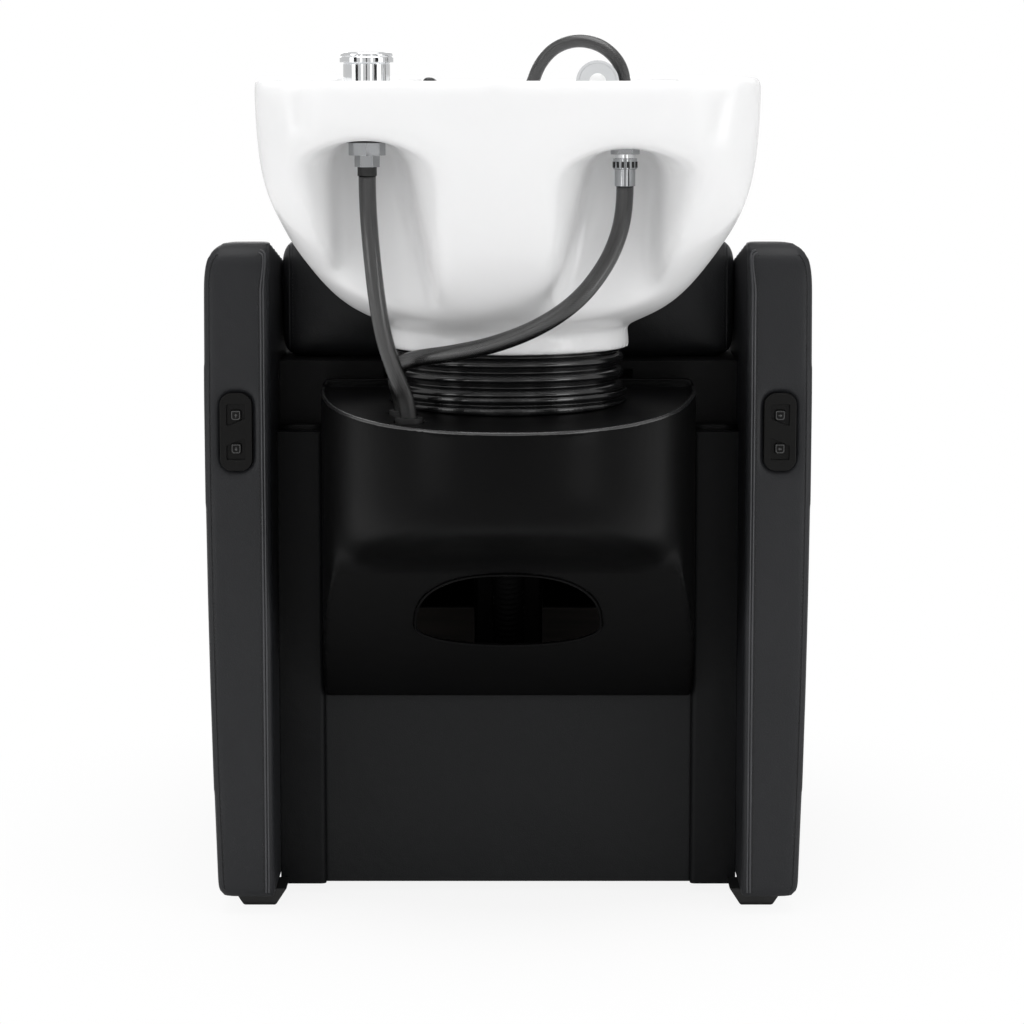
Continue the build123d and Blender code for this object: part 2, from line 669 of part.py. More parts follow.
def bezel_body(side, recesses):
    """A control bezel with its key recesses and key wells."""
    x = side * pad_x
    with BuildPart() as bezel:
        with BuildSketch(rear_plane(pad_face_y)):
            with Locations((x, pad_z)):
                RectangleRounded(PAD_WIDTH - 2 * BEZEL_GAP, PAD_HEIGHT - 2 * BEZEL_GAP, PAD_CORNER)
        extrude(amount=PAD_PROUD + PAD_DEPTH)
        fillet(bezel.faces().sort_by(Axis.Y)[-1].edges(), PAD_PROUD / 2)
        for recess in recesses:
            extrude(recess, amount=PAD_RECESS, mode=Mode.SUBTRACT)
        with BuildSketch(rear_plane(recess_y)):
            with Locations((x, pad_z + KEY_SPREAD / 2), (x, pad_z - KEY_SPREAD / 2)):
                RectangleRounded(KEY_WIDTH, KEY_HEIGHT, KEY_CORNER)
        extrude(amount=KEY_TRAVEL + PAD_RECESS, mode=Mode.SUBTRACT)
    return bezel


def key_body(side, up):
    """One key of a control bezel."""
    with BuildPart() as key:
        with BuildSketch(rear_plane(pad_face_y + KEY_PROUD)):
            with Locations((side * pad_x, pad_z + up * KEY_SPREAD / 2)):
                RectangleRounded(KEY_WIDTH - 2 * BEZEL_GAP, KEY_HEIGHT - 2 * BEZEL_GAP, KEY_CORNER)
        extrude(amount=pad_face_y + KEY_PROUD - key_floor_y - KEY_TRAVEL - RUNNING_GAP)
        fillet(key.faces().sort_by(Axis.Y)[-1].edges(), KEY_PROUD)
    return key


for side, side_name in ((1, "left"), (-1, "right")):
    recesses = [
        key_recess(side * pad_x, pad_z + up * KEY_SPREAD / 2, side, up) for up in (1, -1)
    ]
    finish(bezel_body(side, recesses), f"control_bezel_{side_name}")
for side, up, key_name in (
    (1, 1, "button_leg_up"),
    (1, -1, "button_leg_down"),
    (-1, 1, "button_seat_forward"),
    (-1, -1, "button_seat_back"),
):
    finish(key_body(side, up), key_name)

# Feet: four black pads under the arms, drawn in towards the floor
FOOT_INSET = 22.0
FOOT_REACH_IN = 10.0
FOOT_DRAW = 13.0
FOOT_LENGTH = 55.0
FOOT_SETBACK = 50.0
FOOT_EDGE = 5.0
foot_out = arm_out_x - FOOT_INSET
foot_in = arm_in_x - FOOT_REACH_IN
foot_rows = (pillar_y + RUNNING_GAP, arm_front_y + FOOT_SETBACK)
with BuildPart() as feet:
    for side in (1, -1):
        for y in foot_rows:
            with BuildSketch(rear_plane(y + FOOT_LENGTH)):
                with BuildLine():
                    Polyline(
                        (side * foot_in, ARM_FLOOR_GAP),
                        (side * foot_out, ARM_FLOOR_GAP),
                        (side * (foot_out - FOOT_DRAW), 0),
                        (side * (foot_in + FOOT_DRAW), 0),
                        close=True,
                    )
                make_face()
            extrude(amount=FOOT_LENGTH)
    fillet(feet.edges().group_by(Axis.Z)[0], FOOT_EDGE)
finish(feet, "feet")

# Rear panels: two pillars beside a recessed centre panel, with a dark band above them
PILLAR_WIDTH = 52.0
PANEL_BOTTOM = 12.0
BAND_BOTTOM_DROP = 399.0
BAND_TOP_DROP = 321.0
PILLAR_EDGE = 6.0
PANEL_THICKNESS = 12.0
COVER_BOTTOM_DROP = 702.0
PANEL_LAP = 14.0
BAND_LEDGE = 130.0
BAND_OPENING_HALF = 142.0
BAND_BRIDGE = 10.0
pillar_in = arm_in_x - PILLAR_WIDTH
band_bottom = RIM_HEIGHT - BAND_BOTTOM_DROP
band_top = RIM_HEIGHT - BAND_TOP_DROP
cover_bottom = RIM_HEIGHT - COVER_BOTTOM_DROP
with BuildPart() as pillar_left:
    with BuildSketch(level((pillar_in + arm_in_x) / 2, pillar_y - PILLAR_THICKNESS / 2, PANEL_BOTTOM)):
        Rectangle(arm_in_x - pillar_in, PILLAR_THICKNESS)
    extrude(amount=band_bottom - PANEL_BOTTOM)
    fillet(pillar_left.edges().filter_by(Axis.Z).group_by(Axis.Y)[-1].sort_by(Axis.X)[0], PILLAR_EDGE)
finish(pillar_left, "pillar_left")
with BuildPart() as pillar_right:
    mirror(pillar_left.part, about=Plane.YZ)
finish(pillar_right, "pillar_right")

with BuildPart() as lower_rear_panel:
    with BuildSketch(level(0, panel_y - PANEL_THICKNESS / 2, PANEL_BOTTOM)):
        Rectangle(2 * pillar_in, PANEL_THICKNESS)
    extrude(amount=cover_bottom + PANEL_LAP - PANEL_BOTTOM)
finish(lower_rear_panel, "lower_rear_panel")

with BuildPart() as shroud_band:
    with BuildSketch(Plane.YZ.offset(-arm_in_x)):
        with BuildLine():
            Polyline(
                (band_y, band_bottom),
                (band_y, band_top),
                (band_y - BAND_LEDGE, band_top),
                (band_y - BAND_LEDGE, band_top - SHEET),
                (band_y - SHEET, band_top - SHEET),
                (band_y - SHEET, band_bottom),
                close=True,
            )
        make_face()
    extrude(amount=2 * arm_in_x)
    with BuildSketch(rear_plane(band_y)):
        with Locations((0, (band_bottom + band_top) / 2 - BAND_BRIDGE)):
            Rectangle(2 * BAND_OPENING_HALF, band_top - band_bottom)
    extrude(amount=SHEET, mode=Mode.SUBTRACT)
finish(shroud_band, "shroud_band")

# Rear cover: a moulded hood with a service shelf on top and a half-moon hand hole below
COVER_WALL = 4.0
COVER_TOP_DROP = 338.0
SHELF_DROP = 8.0
NOSE_SETBACK = 35.0
NOSE_FALL = 19.0
NOSE_ROUND_SHARE = 0.87
NOSE_BOTTOM_DROP = 461.0
HOOD_KNEE_REACH = 100.0
HOOD_KNEE_DROP = 520.0
HOOD_KNEE_RADIUS = 60.0
NOSE_LEAN_SHARE = 0.36
HOOD_FOOT_REACH = 5.0
LIP_HEIGHT = 4.0
LIP_WALL = 5.0
FLANGE_DEPTH = 10.0
FLANGE_CORNER = 8.0
TONGUE_HALF = 136.0
SHELF_HOLE = 108.0
GROMMET_HOLE = 15.0
cover_in_y = panel_y + RUNNING_GAP
cover_half = pillar_in - RUNNING_GAP
nose_y = rear_y - NOSE_SETBACK
nose_z = RIM_HEIGHT - NOSE_BOTTOM_DROP
cover_top = RIM_HEIGHT - COVER_TOP_DROP
shelf_z = cover_top - SHELF_DROP
knee_y = arm_rear_y + HOOD_KNEE_REACH
knee_z = RIM_HEIGHT - HOOD_KNEE_DROP
foot_y = pillar_y + HOOD_FOOT_REACH
shelf_slope = math.atan2(NOSE_FALL, nose_y - pillar_y)
shelf_run = nose_y + FLANGE_DEPTH


def shelf_height(y):
    """The height of the shelf's top face at y."""
    return shelf_z - (y - pillar_y) * math.tan(shelf_slope)


def hood_plan(z, inset, back_y):
    """The level outline of the hood: one round sweep from side to side over the nose."""
    half = cover_half - inset
    foot = back_y - pillar_y
    sweep_points = arch_points(half, nose_y - inset - pillar_y, NOSE_ROUND_SHARE)
    with BuildSketch(level(0, pillar_y, z)) as plan:
        with BuildLine():
            Spline(*sweep_points, tangents=((0, 1), (0, -1)))
            Polyline((-half, 0), (-half, foot), (half, foot), (half, 0))
        make_face()
    return plan.sketch


def hood_side(inset, back_y):
    """The hood's side outline: shelf, upright nose, hollow underside and foot."""
    x = cover_half + ALCOVE_OVERRUN
    with BuildSketch(Plane.YZ.offset(-x)) as outline:
        with BuildLine():
            Polyline(
                (back_y, shelf_height(back_y) - inset),
                (shelf_run, shelf_height(shelf_run) - inset),
                (shelf_run, nose_z + inset + (shelf_run - nose_y) * NOSE_LEAN_SHARE),
                (knee_y - inset / 2, knee_z + inset),
                (foot_y - inset / 2, cover_bottom + inset),
                (back_y, cover_bottom + inset),
                close=True,
            )
        make_face()
        knee = outline.vertices().sort_by_distance((knee_y - inset / 2, knee_z + inset))[0]
        fillet(knee, HOOD_KNEE_RADIUS)
    return outline.sketch


outer_plan = hood_plan(cover_bottom, 0, cover_in_y)
outer_side = hood_side(0, cover_in_y)
inner_plan = hood_plan(cover_bottom, COVER_WALL, cover_in_y - COVER_WALL)
inner_side = hood_side(COVER_WALL, cover_in_y - COVER_WALL)
hood_height = cover_top - cover_bottom
hood_width = 2 * (cover_half + ALCOVE_OVERRUN)

with BuildPart() as hood_inside:
    extrude(inner_plan, amount=hood_height)
    extrude(inner_side, amount=hood_width, mode=Mode.INTERSECT)

# Half-moon: a wide low opening, square to the sloping underside
MOON_HALF = 102.0
MOON_RISE = 95.0
MOON_FALL = 41.0
MOON_ROUND_SHARE = 0.80
MOON_LIP = 3.0
MOON_CUT = 40.0
slope_dy = knee_y - foot_y
slope_dz = knee_z - cover_bottom
slope_length = math.hypot(slope_dy, slope_dz)
MOON_MIDDLE_SHARE = 0.555
moon_plane = Plane(
    origin=(0, foot_y + slope_dy * MOON_MIDDLE_SHARE, cover_bottom + slope_dz * MOON_MIDDLE_SHARE),
    x_dir=(1, 0, 0),
    z_dir=(0, -slope_dz / slope_length, slope_dy / slope_length),
)


def moon_outline(grow):
    """The half-moon's outline on the sloping face."""
    half = MOON_HALF + grow
    with BuildSketch(moon_plane) as moon:
        with BuildLine():
            Spline(*arch_points(half, MOON_RISE + grow, MOON_ROUND_SHARE), tangents=((0, 1), (0, -1)))
            Spline(*arch_points(half, -MOON_FALL - grow, 1), tangents=((0, -1), (0, 1)))
        make_face()
    return moon.sketch


moon_hole = moon_outline(0)
moon_rim = moon_outline(MOON_LIP)
outer_rim = hood_plan(cover_bottom, 0, cover_in_y)
inner_rim = hood_plan(cover_bottom, LIP_WALL, cover_in_y)

with BuildPart() as shelf_lip:
    extrude(outer_rim, amount=hood_height + LIP_HEIGHT)
    extrude(inner_rim, amount=hood_height + LIP_HEIGHT, mode=Mode.SUBTRACT)
    with BuildSketch(Plane.YZ.offset(-cover_half - ALCOVE_OVERRUN)):
        with BuildLine():
            Polyline(
                (pillar_y, shelf_height(pillar_y) - COVER_WALL / 2),
                (pillar_y, shelf_height(pillar_y) + LIP_HEIGHT),
                (shelf_run, shelf_height(shelf_run) + LIP_HEIGHT),
                (shelf_run, shelf_height(shelf_run) - COVER_WALL / 2),
                close=True,
            )
        make_face()
    extrude(amount=hood_width, mode=Mode.INTERSECT)

BELLOWS_CREST = 127.0
RING_WALL = 4.0
ring_radius = BELLOWS_CREST + RING_WALL
with BuildPart() as shelf_flange:
    with BuildSketch(rear_plane(pillar_y + FLANGE_DEPTH)) as flange_face:
        with Locations((0, (shelf_z + cover_top) / 2 - FLANGE_CORNER)):
            Rectangle(2 * cover_half, cover_top - shelf_z + 2 * FLANGE_CORNER)
        fillet(flange_face.vertices().group_by(Axis.Y)[-1], FLANGE_CORNER)
    extrude(amount=pillar_y + FLANGE_DEPTH - cover_in_y)
    with BuildSketch(Plane.YZ.offset(-cover_half)):
        with BuildLine():
            Polyline(
                (cover_in_y, shelf_height(cover_in_y) - COVER_WALL / 2),
                (cover_in_y, cover_top + FLANGE_DEPTH),
                (pillar_y + FLANGE_DEPTH, cover_top + FLANGE_DEPTH),
                (pillar_y + FLANGE_DEPTH, shelf_height(pillar_y + FLANGE_DEPTH) - COVER_WALL / 2),
                close=True,
            )
        make_face()
    extrude(amount=2 * cover_half, mode=Mode.INTERSECT)
    with BuildSketch(level(0, drain_y, cover_bottom)):
        Circle(ring_radius + COVER_WALL)
    extrude(amount=2 * hood_height, mode=Mode.SUBTRACT)

with BuildPart() as rear_cover:
    extrude(outer_plan, amount=hood_height)
    extrude(outer_side, amount=hood_width, mode=Mode.INTERSECT)
    extrude(moon_rim, amount=-MOON_LIP)
    add(hood_inside.part, mode=Mode.SUBTRACT)
    extrude(moon_hole, amount=MOON_CUT, both=True, mode=Mode.SUBTRACT)
    add(shelf_lip.part)
    add(shelf_flange.part)
    with BuildSketch(Plane.YZ.offset(-TONGUE_HALF)):
        with BuildLine():
            Polyline(
                (band_y + RUNNING_GAP, shelf_height(band_y)),
                (cover_in_y + COVER_WALL, shelf_height(cover_in_y + COVER_WALL)),
                (cover_in_y + COVER_WALL, shelf_height(cover_in_y + COVER_WALL) - COVER_WALL),
                (band_y + RUNNING_GAP, shelf_height(band_y) - COVER_WALL),
                close=True,
            )
        make_face()
    extrude(amount=2 * TONGUE_HALF)
    with BuildSketch(level(0, 0, shelf_height(nose_y) - 2 * COVER_WALL)):
        with Locations((0, drain_y)):
            Circle(SHELF_HOLE)
        with Locations(MANIFOLD_PORTS):
            Circle(GROMMET_HOLE)
    extrude(amount=hood_height, mode=Mode.SUBTRACT)
finish(rear_cover, "rear_cover")

GROMMET_RISE = 4.0
GROMMET_DROP = 6.0
HOSE_DIAMETER = 18.0
with BuildPart() as hose_grommets:
    for x, y in MANIFOLD_PORTS:
        with BuildSketch(level(x, y, shelf_height(y) - COVER_WALL - GROMMET_DROP)):
            Circle(GROMMET_HOLE - RUNNING_GAP)
            Circle(HOSE_DIAMETER / 2 + 2 * RUNNING_GAP, mode=Mode.SUBTRACT)
        extrude(amount=COVER_WALL + GROMMET_DROP + GROMMET_RISE)
finish(hose_grommets, "hose_grommets")

# Bellows: a ribbed rubber sleeve between the shelf and the basin's foot, in a collar ring
BELLOWS_TROUGH = 119.0
BELLOWS_WALL = 3.0
BELLOWS_RIBS = 3
BELLOWS_PITCH = 16.0
RING_BORE = 112.0
RING_LIP = 3.0
RING_GROOVE = 6.0
RING_GROOVE_DROPS = (4.0, 8.0)
ledge_z = foot_z - BELLOWS_RIBS * BELLOWS_PITCH
RIB_RISE_SHARES = (0.0, 0.08, 0.42, 0.58)
drain_axis = Axis((0, drain_y, 0), (0, 0, 1))

outside = []
for rib in range(BELLOWS_RIBS):
    rib_z = ledge_z + rib * BELLOWS_PITCH
    for radius, share in zip(
        (BELLOWS_TROUGH, BELLOWS_CREST, BELLOWS_CREST, BELLOWS_TROUGH), RIB_RISE_SHARES
    ):
        outside.append((radius, rib_z + BELLOWS_PITCH * share))
outside.append((BELLOWS_TROUGH, foot_z))
inside = [(radius - BELLOWS_WALL, z) for radius, z in reversed(outside)]
with BuildPart() as bellows:
    with BuildSketch(rear_plane(drain_y)):
        with BuildLine():
            Polyline(*outside, *inside, close=True)
        make_face()
    revolve(axis=drain_axis)
finish(bellows, "bellows")

with BuildPart() as bellows_ring:
    with BuildSketch(level(0, drain_y, shelf_height(nose_y))):
        Circle(ring_radius)
        Circle(RING_BORE, mode=Mode.SUBTRACT)
    extrude(amount=ledge_z + RING_LIP - shelf_height(nose_y))
    with BuildSketch(level(0, drain_y, ledge_z)):
        Circle(BELLOWS_CREST + RUNNING_GAP)
    extrude(amount=RING_LIP, mode=Mode.SUBTRACT)
    with BuildSketch(level(0, drain_y, ledge_z - RING_GROOVE_DROPS[1])):
        Circle(2 * ring_radius)
        Circle(ring_radius - RING_GROOVE, mode=Mode.SUBTRACT)
    extrude(amount=RING_GROOVE_DROPS[1] - RING_GROOVE_DROPS[0], mode=Mode.SUBTRACT)
    with BuildSketch(Plane.YZ.offset(-ring_radius)):
        with BuildLine():
            Polyline(
                (drain_y - 2 * ring_radius, shelf_height(drain_y - 2 * ring_radius) + PIN_GAP),
                (drain_y + 2 * ring_radius, shelf_height(drain_y + 2 * ring_radius) + PIN_GAP),
                (drain_y + 2 * ring_radius, cover_bottom),
                (drain_y - 2 * ring_radius, cover_bottom),
                close=True,
            )
        make_face()
    extrude(amount=2 * ring_radius, mode=Mode.SUBTRACT)
finish(bellows_ring, "bellows_ring")

# Tap: a fixed body on the deck, a turning barrel and a flat lever, with nuts under the deck
TAP_FLANGE_RADIUS = 27.0
TAP_FLANGE = 5.0
TAP_RADIUS = 24.0
TAP_BODY = 25.0
BARREL_HEIGHT = 18.7
LEVER_GAP = 1.0
LEVER_THICKNESS = 6.5
LEVER_RADIUS = 27.5
LEVER_REACH = 96.0
LEVER_TIP = 9.0
LEVER_ROOT = 22.0
LEVER_NECK = 12.0
tap_ceiling = RIM_HEIGHT - TAP_CEILING
WASHER_RADIUS = 24.0
WASHER = 4.0
TAP_NUT_RADIUS = 19.0
TAP_NUT = 13.0
HOSE_NUT_RADIUS = 13.0
HOSE_NUT = 12.0
COLLAR_RADIUS = 10.0
COLLAR = 9.0
nut_z = tap_ceiling - WASHER - TAP_NUT
hose_nut_z = nut_z - HOSE_NUT
collar_z = hose_nut_z - COLLAR

with BuildPart() as mixer_base:
    with BuildSketch(level(TAP_X, tap_y, deck_z)):
        Circle(TAP_FLANGE_RADIUS)
    extrude(amount=TAP_FLANGE)
    chamfer(mixer_base.faces().sort_by(Axis.Z)[-1].edges(), TAP_FLANGE / 4)
    with BuildSketch(level(TAP_X, tap_y, deck_z)):
        Circle(TAP_RADIUS)
    extrude(amount=TAP_BODY)
    with BuildSketch(level(TAP_X, tap_y, nut_z)):
        Circle(SHANK_RADIUS)
    extrude(amount=deck_z - nut_z)
finish(mixer_base, "mixer_base")

barrel_z = deck_z + TAP_BODY + RUNNING_GAP
with BuildPart() as mixer_spindle:
    with BuildSketch(level(TAP_X, tap_y, barrel_z)):
        Circle(TAP_RADIUS)
    extrude(amount=BARREL_HEIGHT)
    chamfer(mixer_spindle.faces().sort_by(Axis.Z)[-1].edges(), TAP_FLANGE / 5)
finish(mixer_spindle, "mixer_spindle")

barrel_top = barrel_z + BARREL_HEIGHT
lever_z = barrel_top + LEVER_GAP
with BuildPart() as mixer_handle:
    with BuildSketch(level(TAP_X, tap_y, lever_z)):
        Circle(LEVER_RADIUS)
        with BuildLine():
            Polyline(
                (-LEVER_ROOT, 0),
                (-LEVER_TIP, -LEVER_REACH),
                (LEVER_TIP, -LEVER_REACH),
                (LEVER_ROOT, 0),
                close=True,
            )
        make_face()
    extrude(amount=LEVER_THICKNESS)
    fillet(mixer_handle.edges().filter_by(Axis.Z).sort_by(Axis.Y)[:2], LEVER_TIP / 2)
    chamfer(mixer_handle.faces().sort_by(Axis.Z)[-1].edges(), LEVER_THICKNESS / 4)
    with BuildSketch(level(TAP_X, tap_y, barrel_top + RUNNING_GAP)):
        Circle(LEVER_NECK)
    extrude(amount=LEVER_GAP - RUNNING_GAP)
finish(mixer_handle, "mixer_handle")

with BuildPart() as mixer_washer:
    with BuildSketch(level(TAP_X, tap_y, tap_ceiling - WASHER)):
        Circle(WASHER_RADIUS)
        Circle(SHANK_RADIUS + RUNNING_GAP, mode=Mode.SUBTRACT)
    extrude(amount=WASHER)
finish(mixer_washer, "mixer_washer")

with BuildPart() as mixer_nut:
    with BuildSketch(level(TAP_X, tap_y, nut_z)):
        RegularPolygon(TAP_NUT_RADIUS, 8)
        Circle(SHANK_RADIUS + PIN_GAP, mode=Mode.SUBTRACT)
    extrude(amount=TAP_NUT)
    with BuildSketch(level(TAP_X, tap_y, hose_nut_z)):
        RegularPolygon(HOSE_NUT_RADIUS, 6)
    extrude(amount=HOSE_NUT)
finish(mixer_nut, "mixer_nut")

with BuildPart() as hose_collar:
    with BuildSketch(level(TAP_X, tap_y, collar_z)):
        Circle(COLLAR_RADIUS)
    extrude(amount=COLLAR)
finish(hose_collar, "hose_collar")

# Hose union on the deck, with its ring nut and ferrule below
UNION_FLANGE_RADIUS = 15.0
UNION_FLANGE = 7.0
LOCK_NUT_RADIUS = 15.0
LOCK_NUT = 8.0
LOCK_NUT_GAP = 4.0
RING_NUT_RADIUS = 12.5
RING_NUT = 11.0
FERRULE_RADIUS = 10.7
FERRULE = 17.5
union_ceiling = RIM_HEIGHT - UNION_CEILING
ring_nut_z = union_ceiling - LOCK_NUT - LOCK_NUT_GAP - RING_NUT
ferrule_z = ring_nut_z - FERRULE
with BuildPart() as deck_union:
    with BuildSketch(level(UNION_X, tap_y, deck_z)):
        Circle(UNION_FLANGE_RADIUS)
    extrude(amount=UNION_FLANGE)
    chamfer(deck_union.faces().sort_by(Axis.Z)[-1].edges(), UNION_FLANGE / 4)
    with BuildSketch(level(UNION_X, tap_y, ring_nut_z + RING_NUT)):
        Circle(SHANK_RADIUS)
    extrude(amount=deck_z - ring_nut_z - RING_NUT)
finish(deck_union, "deck_union")

with BuildPart() as outlet_fitting:
    with BuildSketch(level(UNION_X, tap_y, union_ceiling - LOCK_NUT)):
        RegularPolygon(LOCK_NUT_RADIUS, 6)
        Circle(SHANK_RADIUS + PIN_GAP, mode=Mode.SUBTRACT)
    extrude(amount=LOCK_NUT)
    with BuildSketch(level(UNION_X, tap_y, ring_nut_z)):
        Circle(RING_NUT_RADIUS)
    extrude(amount=RING_NUT)
    with BuildSketch(level(UNION_X, tap_y, ferrule_z)):
        Circle(FERRULE_RADIUS)
    extrude(amount=FERRULE)
finish(outlet_fitting, "outlet_fitting")

# Hand shower: a slim handle that widens to a round head, resting in a fork on the deck
SHOWER_TAIL_PLACE = (-92.0, 82.0, 27.0)
SHOWER_DIRECTION = (0.0, 0.986, 0.164)
SHOWER_LENGTH = 136.0
SHOWER_HEAD_RADIUS = 22.0
SHOWER_HANDLE_RADIUS = 13.0
SHOWER_STATION_SHARES = (0.0, 0.10, 0.55, 0.78, 0.90, 0.955, 1.0)
SHOWER_RADIUS_SHARES = (0.40, 0.49, 0.545, 0.58, 0.86, 1.0, 1.0)
FACE_INSET = 3.0
FACE_THICKNESS = 2.0
tail_across, tail_behind, tail_drop = SHOWER_TAIL_PLACE
shower_tail = (tail_across, drain_y + tail_behind, RIM_HEIGHT - tail_drop)
tail_plane = Plane(origin=shower_tail, x_dir=(1, 0, 0), z_dir=SHOWER_DIRECTION)
head_plane = tail_plane.offset(SHOWER_LENGTH)
shower_outline = [
    (SHOWER_HEAD_RADIUS * radius_share, SHOWER_LENGTH * station_share)
    for station_share, radius_share in zip(SHOWER_STATION_SHARES, SHOWER_RADIUS_SHARES)
]
shower_side = Plane(origin=shower_tail, x_dir=(1, 0, 0), z_dir=(-tail_plane.y_dir))
with BuildPart() as hand_shower:
    with BuildSketch(shower_side):
        with BuildLine():
            Polyline((0, 0), *shower_outline, (0, SHOWER_LENGTH), close=True)
        make_face()
    revolve(axis=Axis(shower_tail, SHOWER_DIRECTION))
    with BuildSketch(head_plane):
        Circle(SHOWER_HEAD_RADIUS - FACE_INSET)
    extrude(amount=-FACE_THICKNESS, mode=Mode.SUBTRACT)
finish(hand_shower, "hand_shower")

with BuildPart() as spray_face:
    with BuildSketch(head_plane.offset(-FACE_THICKNESS)):
        Circle(SHOWER_HEAD_RADIUS - FACE_INSET - RUNNING_GAP / 3)
    extrude(amount=FACE_THICKNESS)
finish(spray_face, "spray_face")

HOLDER_WIDTH = 36.0
HOLDER_DEPTH = 16.0
HOLDER_HEIGHT = 22.0
HOLDER_FROM_TAP = 22.0
holder_y = tap_y - HOLDER_FROM_TAP
slot_radius = SHOWER_HANDLE_RADIUS + 2 * RUNNING_GAP
with BuildPart() as shower_holder:
    with BuildSketch(level(tail_across, holder_y, deck_z)):
        RectangleRounded(HOLDER_WIDTH, HOLDER_DEPTH, HOLDER_DEPTH / 4)
    extrude(amount=HOLDER_HEIGHT)
    with BuildSketch(tail_plane):
        Circle(slot_radius)
        with Locations((0, -HOLDER_HEIGHT)):
            Rectangle(2 * slot_radius, 2 * HOLDER_HEIGHT)
    extrude(amount=SHOWER_LENGTH, mode=Mode.SUBTRACT)
finish(shower_holder, "shower_holder")

# Hoses: each route is a list of points in millimetres, from its upper end
def from_rim(*points):
    """Points given as the way across, the way behind the drain and the drop below the rim."""
    return [(x, drain_y + behind, RIM_HEIGHT - drop) for x, behind, drop in points]


SUPPLY_ROUTE = from_rim(
    (145, 200, 101), (145, 200, 123), (142.5, 200, 164), (137.5, 198, 217), (130, 190, 269),
    (116, 175, 313), (104, 162, 343), (104, 162, 375),
)
MIXED_ROUTE = from_rim(
    (-121, 200, 111.5), (-121, 200, 132), (-115, 204, 163), (-100, 215, 195), (-72, 230, 229),
    (-32, 218, 257), (16, 196, 277), (62, 173, 288), (94, 155, 293), (114, 136, 301),
    (121, 123, 317), (112, 110, 345), (112, 110, 375),
)
SHOWER_ROUTE = from_rim(
    (-121, 200, 23), (-121, 200, 9), (-116, 198, -14), (-98.3, 192, -32), (-74, 184, -38.6),
    (-49.7, 175, -32), (-33, 166, -14), (-25, 155, 8), (-17, 137, 28), (-6, 120, 53),
    (5, 99, 79), (12, 73, 99), (11, 43, 109), (-1, 14, 110), (-26, -5, 101),
    (-55, -9, 84), (-78, 4, 64), (-90, 25, 45), (-92, 52, 32), (-92, 81.9, 27.02),
)
WASTE_BEHINDS = (0, 0, -12, -45, -97, -140, -158, -158)
WASTE_RISE_SHARES = (1, 0.8854, 0.75, 0.6146, 0.4958, 0.3583, 0.1875, 0)
WASTE_ROUTE = [
    (0, drain_y + behind, OUTLET_TOP + share * (tail_bottom - OUTLET_TOP))
    for behind, share in zip(WASTE_BEHINDS, WASTE_RISE_SHARES)
]
SHOWER_HOSE_DIAMETER = 13.5
BEND_SHARE = 0.45


def bend_radii(points):
    """The radius at each inner point of a route, from its shorter run and its turn."""
    spots = [Vector(*point) for point in points]
    radii = []
    for before, here, after in zip(spots, spots[1:], spots[2:]):
        run_in = here - before
        run_out = after - here
        half_turn = math.radians(run_in.get_angle(run_out)) / 2
        radii.append(BEND_SHARE * min(run_in.length, run_out.length) / math.tan(half_turn))
    return radii


def hose_body(points, diameter, name):
    """A round hose along a route, as straight runs joined by tangent arcs."""
    radii = bend_radii(points)
    path = FilletPolyline(*points, radius=radii)
    length = path.length
    with BuildPart() as hose:
        with BuildSketch(Plane(origin=path @ 0, z_dir=path % 0)):
            Circle(diameter / 2)
        sweep(path=path)
    share = hose.part.volume / (math.pi * diameter**2 / 4 * length)
    print(name, "length", round(length), "volume share", round(share, 4),
          "radii", [round(radius) for radius in radii])
    return hose


for route, diameter, name in (
    (SUPPLY_ROUTE, HOSE_DIAMETER, "supply_hose"),
    (MIXED_ROUTE, HOSE_DIAMETER, "mixed_hose"),
    (SHOWER_ROUTE, SHOWER_HOSE_DIAMETER, "shower_hose"),
    (WASTE_ROUTE, 2 * WASTE_RADIUS, "waste_hose"),
):
    finish(hose_body(route, diameter, name), name)

# Backrest: a leaning board with a padded front, over the seat's cross tubes
BACK_FROM_NECK = 242.0
BACK_ORIGIN_DROP = 515.0
BACK_TOP_DROP = 135.0
BACK_THICKNESS = 62.0
BACK_SIDE_GAP = 8.0
BACK_BELOW = 60.0
SEAT_TUBE = 40.0
SEAT_TUBE_WALL = 3.0
SEAT_TUBE_TOP = 304.7
CUSHION_CROWN = 9.0
CUSHION_DRAW = 4.0
CUSHION_EDGE = 12.0
lean = math.radians(RECLINE)
back_y = neck_y - BACK_FROM_NECK
back_origin_z = RIM_HEIGHT - BACK_ORIGIN_DROP
back_top = RIM_HEIGHT - BACK_TOP_DROP


def back_face(z, depth):
    """How far back a plane that deep behind the backrest's front face is at height z."""
    return back_y + (z - back_origin_z) * math.tan(lean) + depth / math.cos(lean)


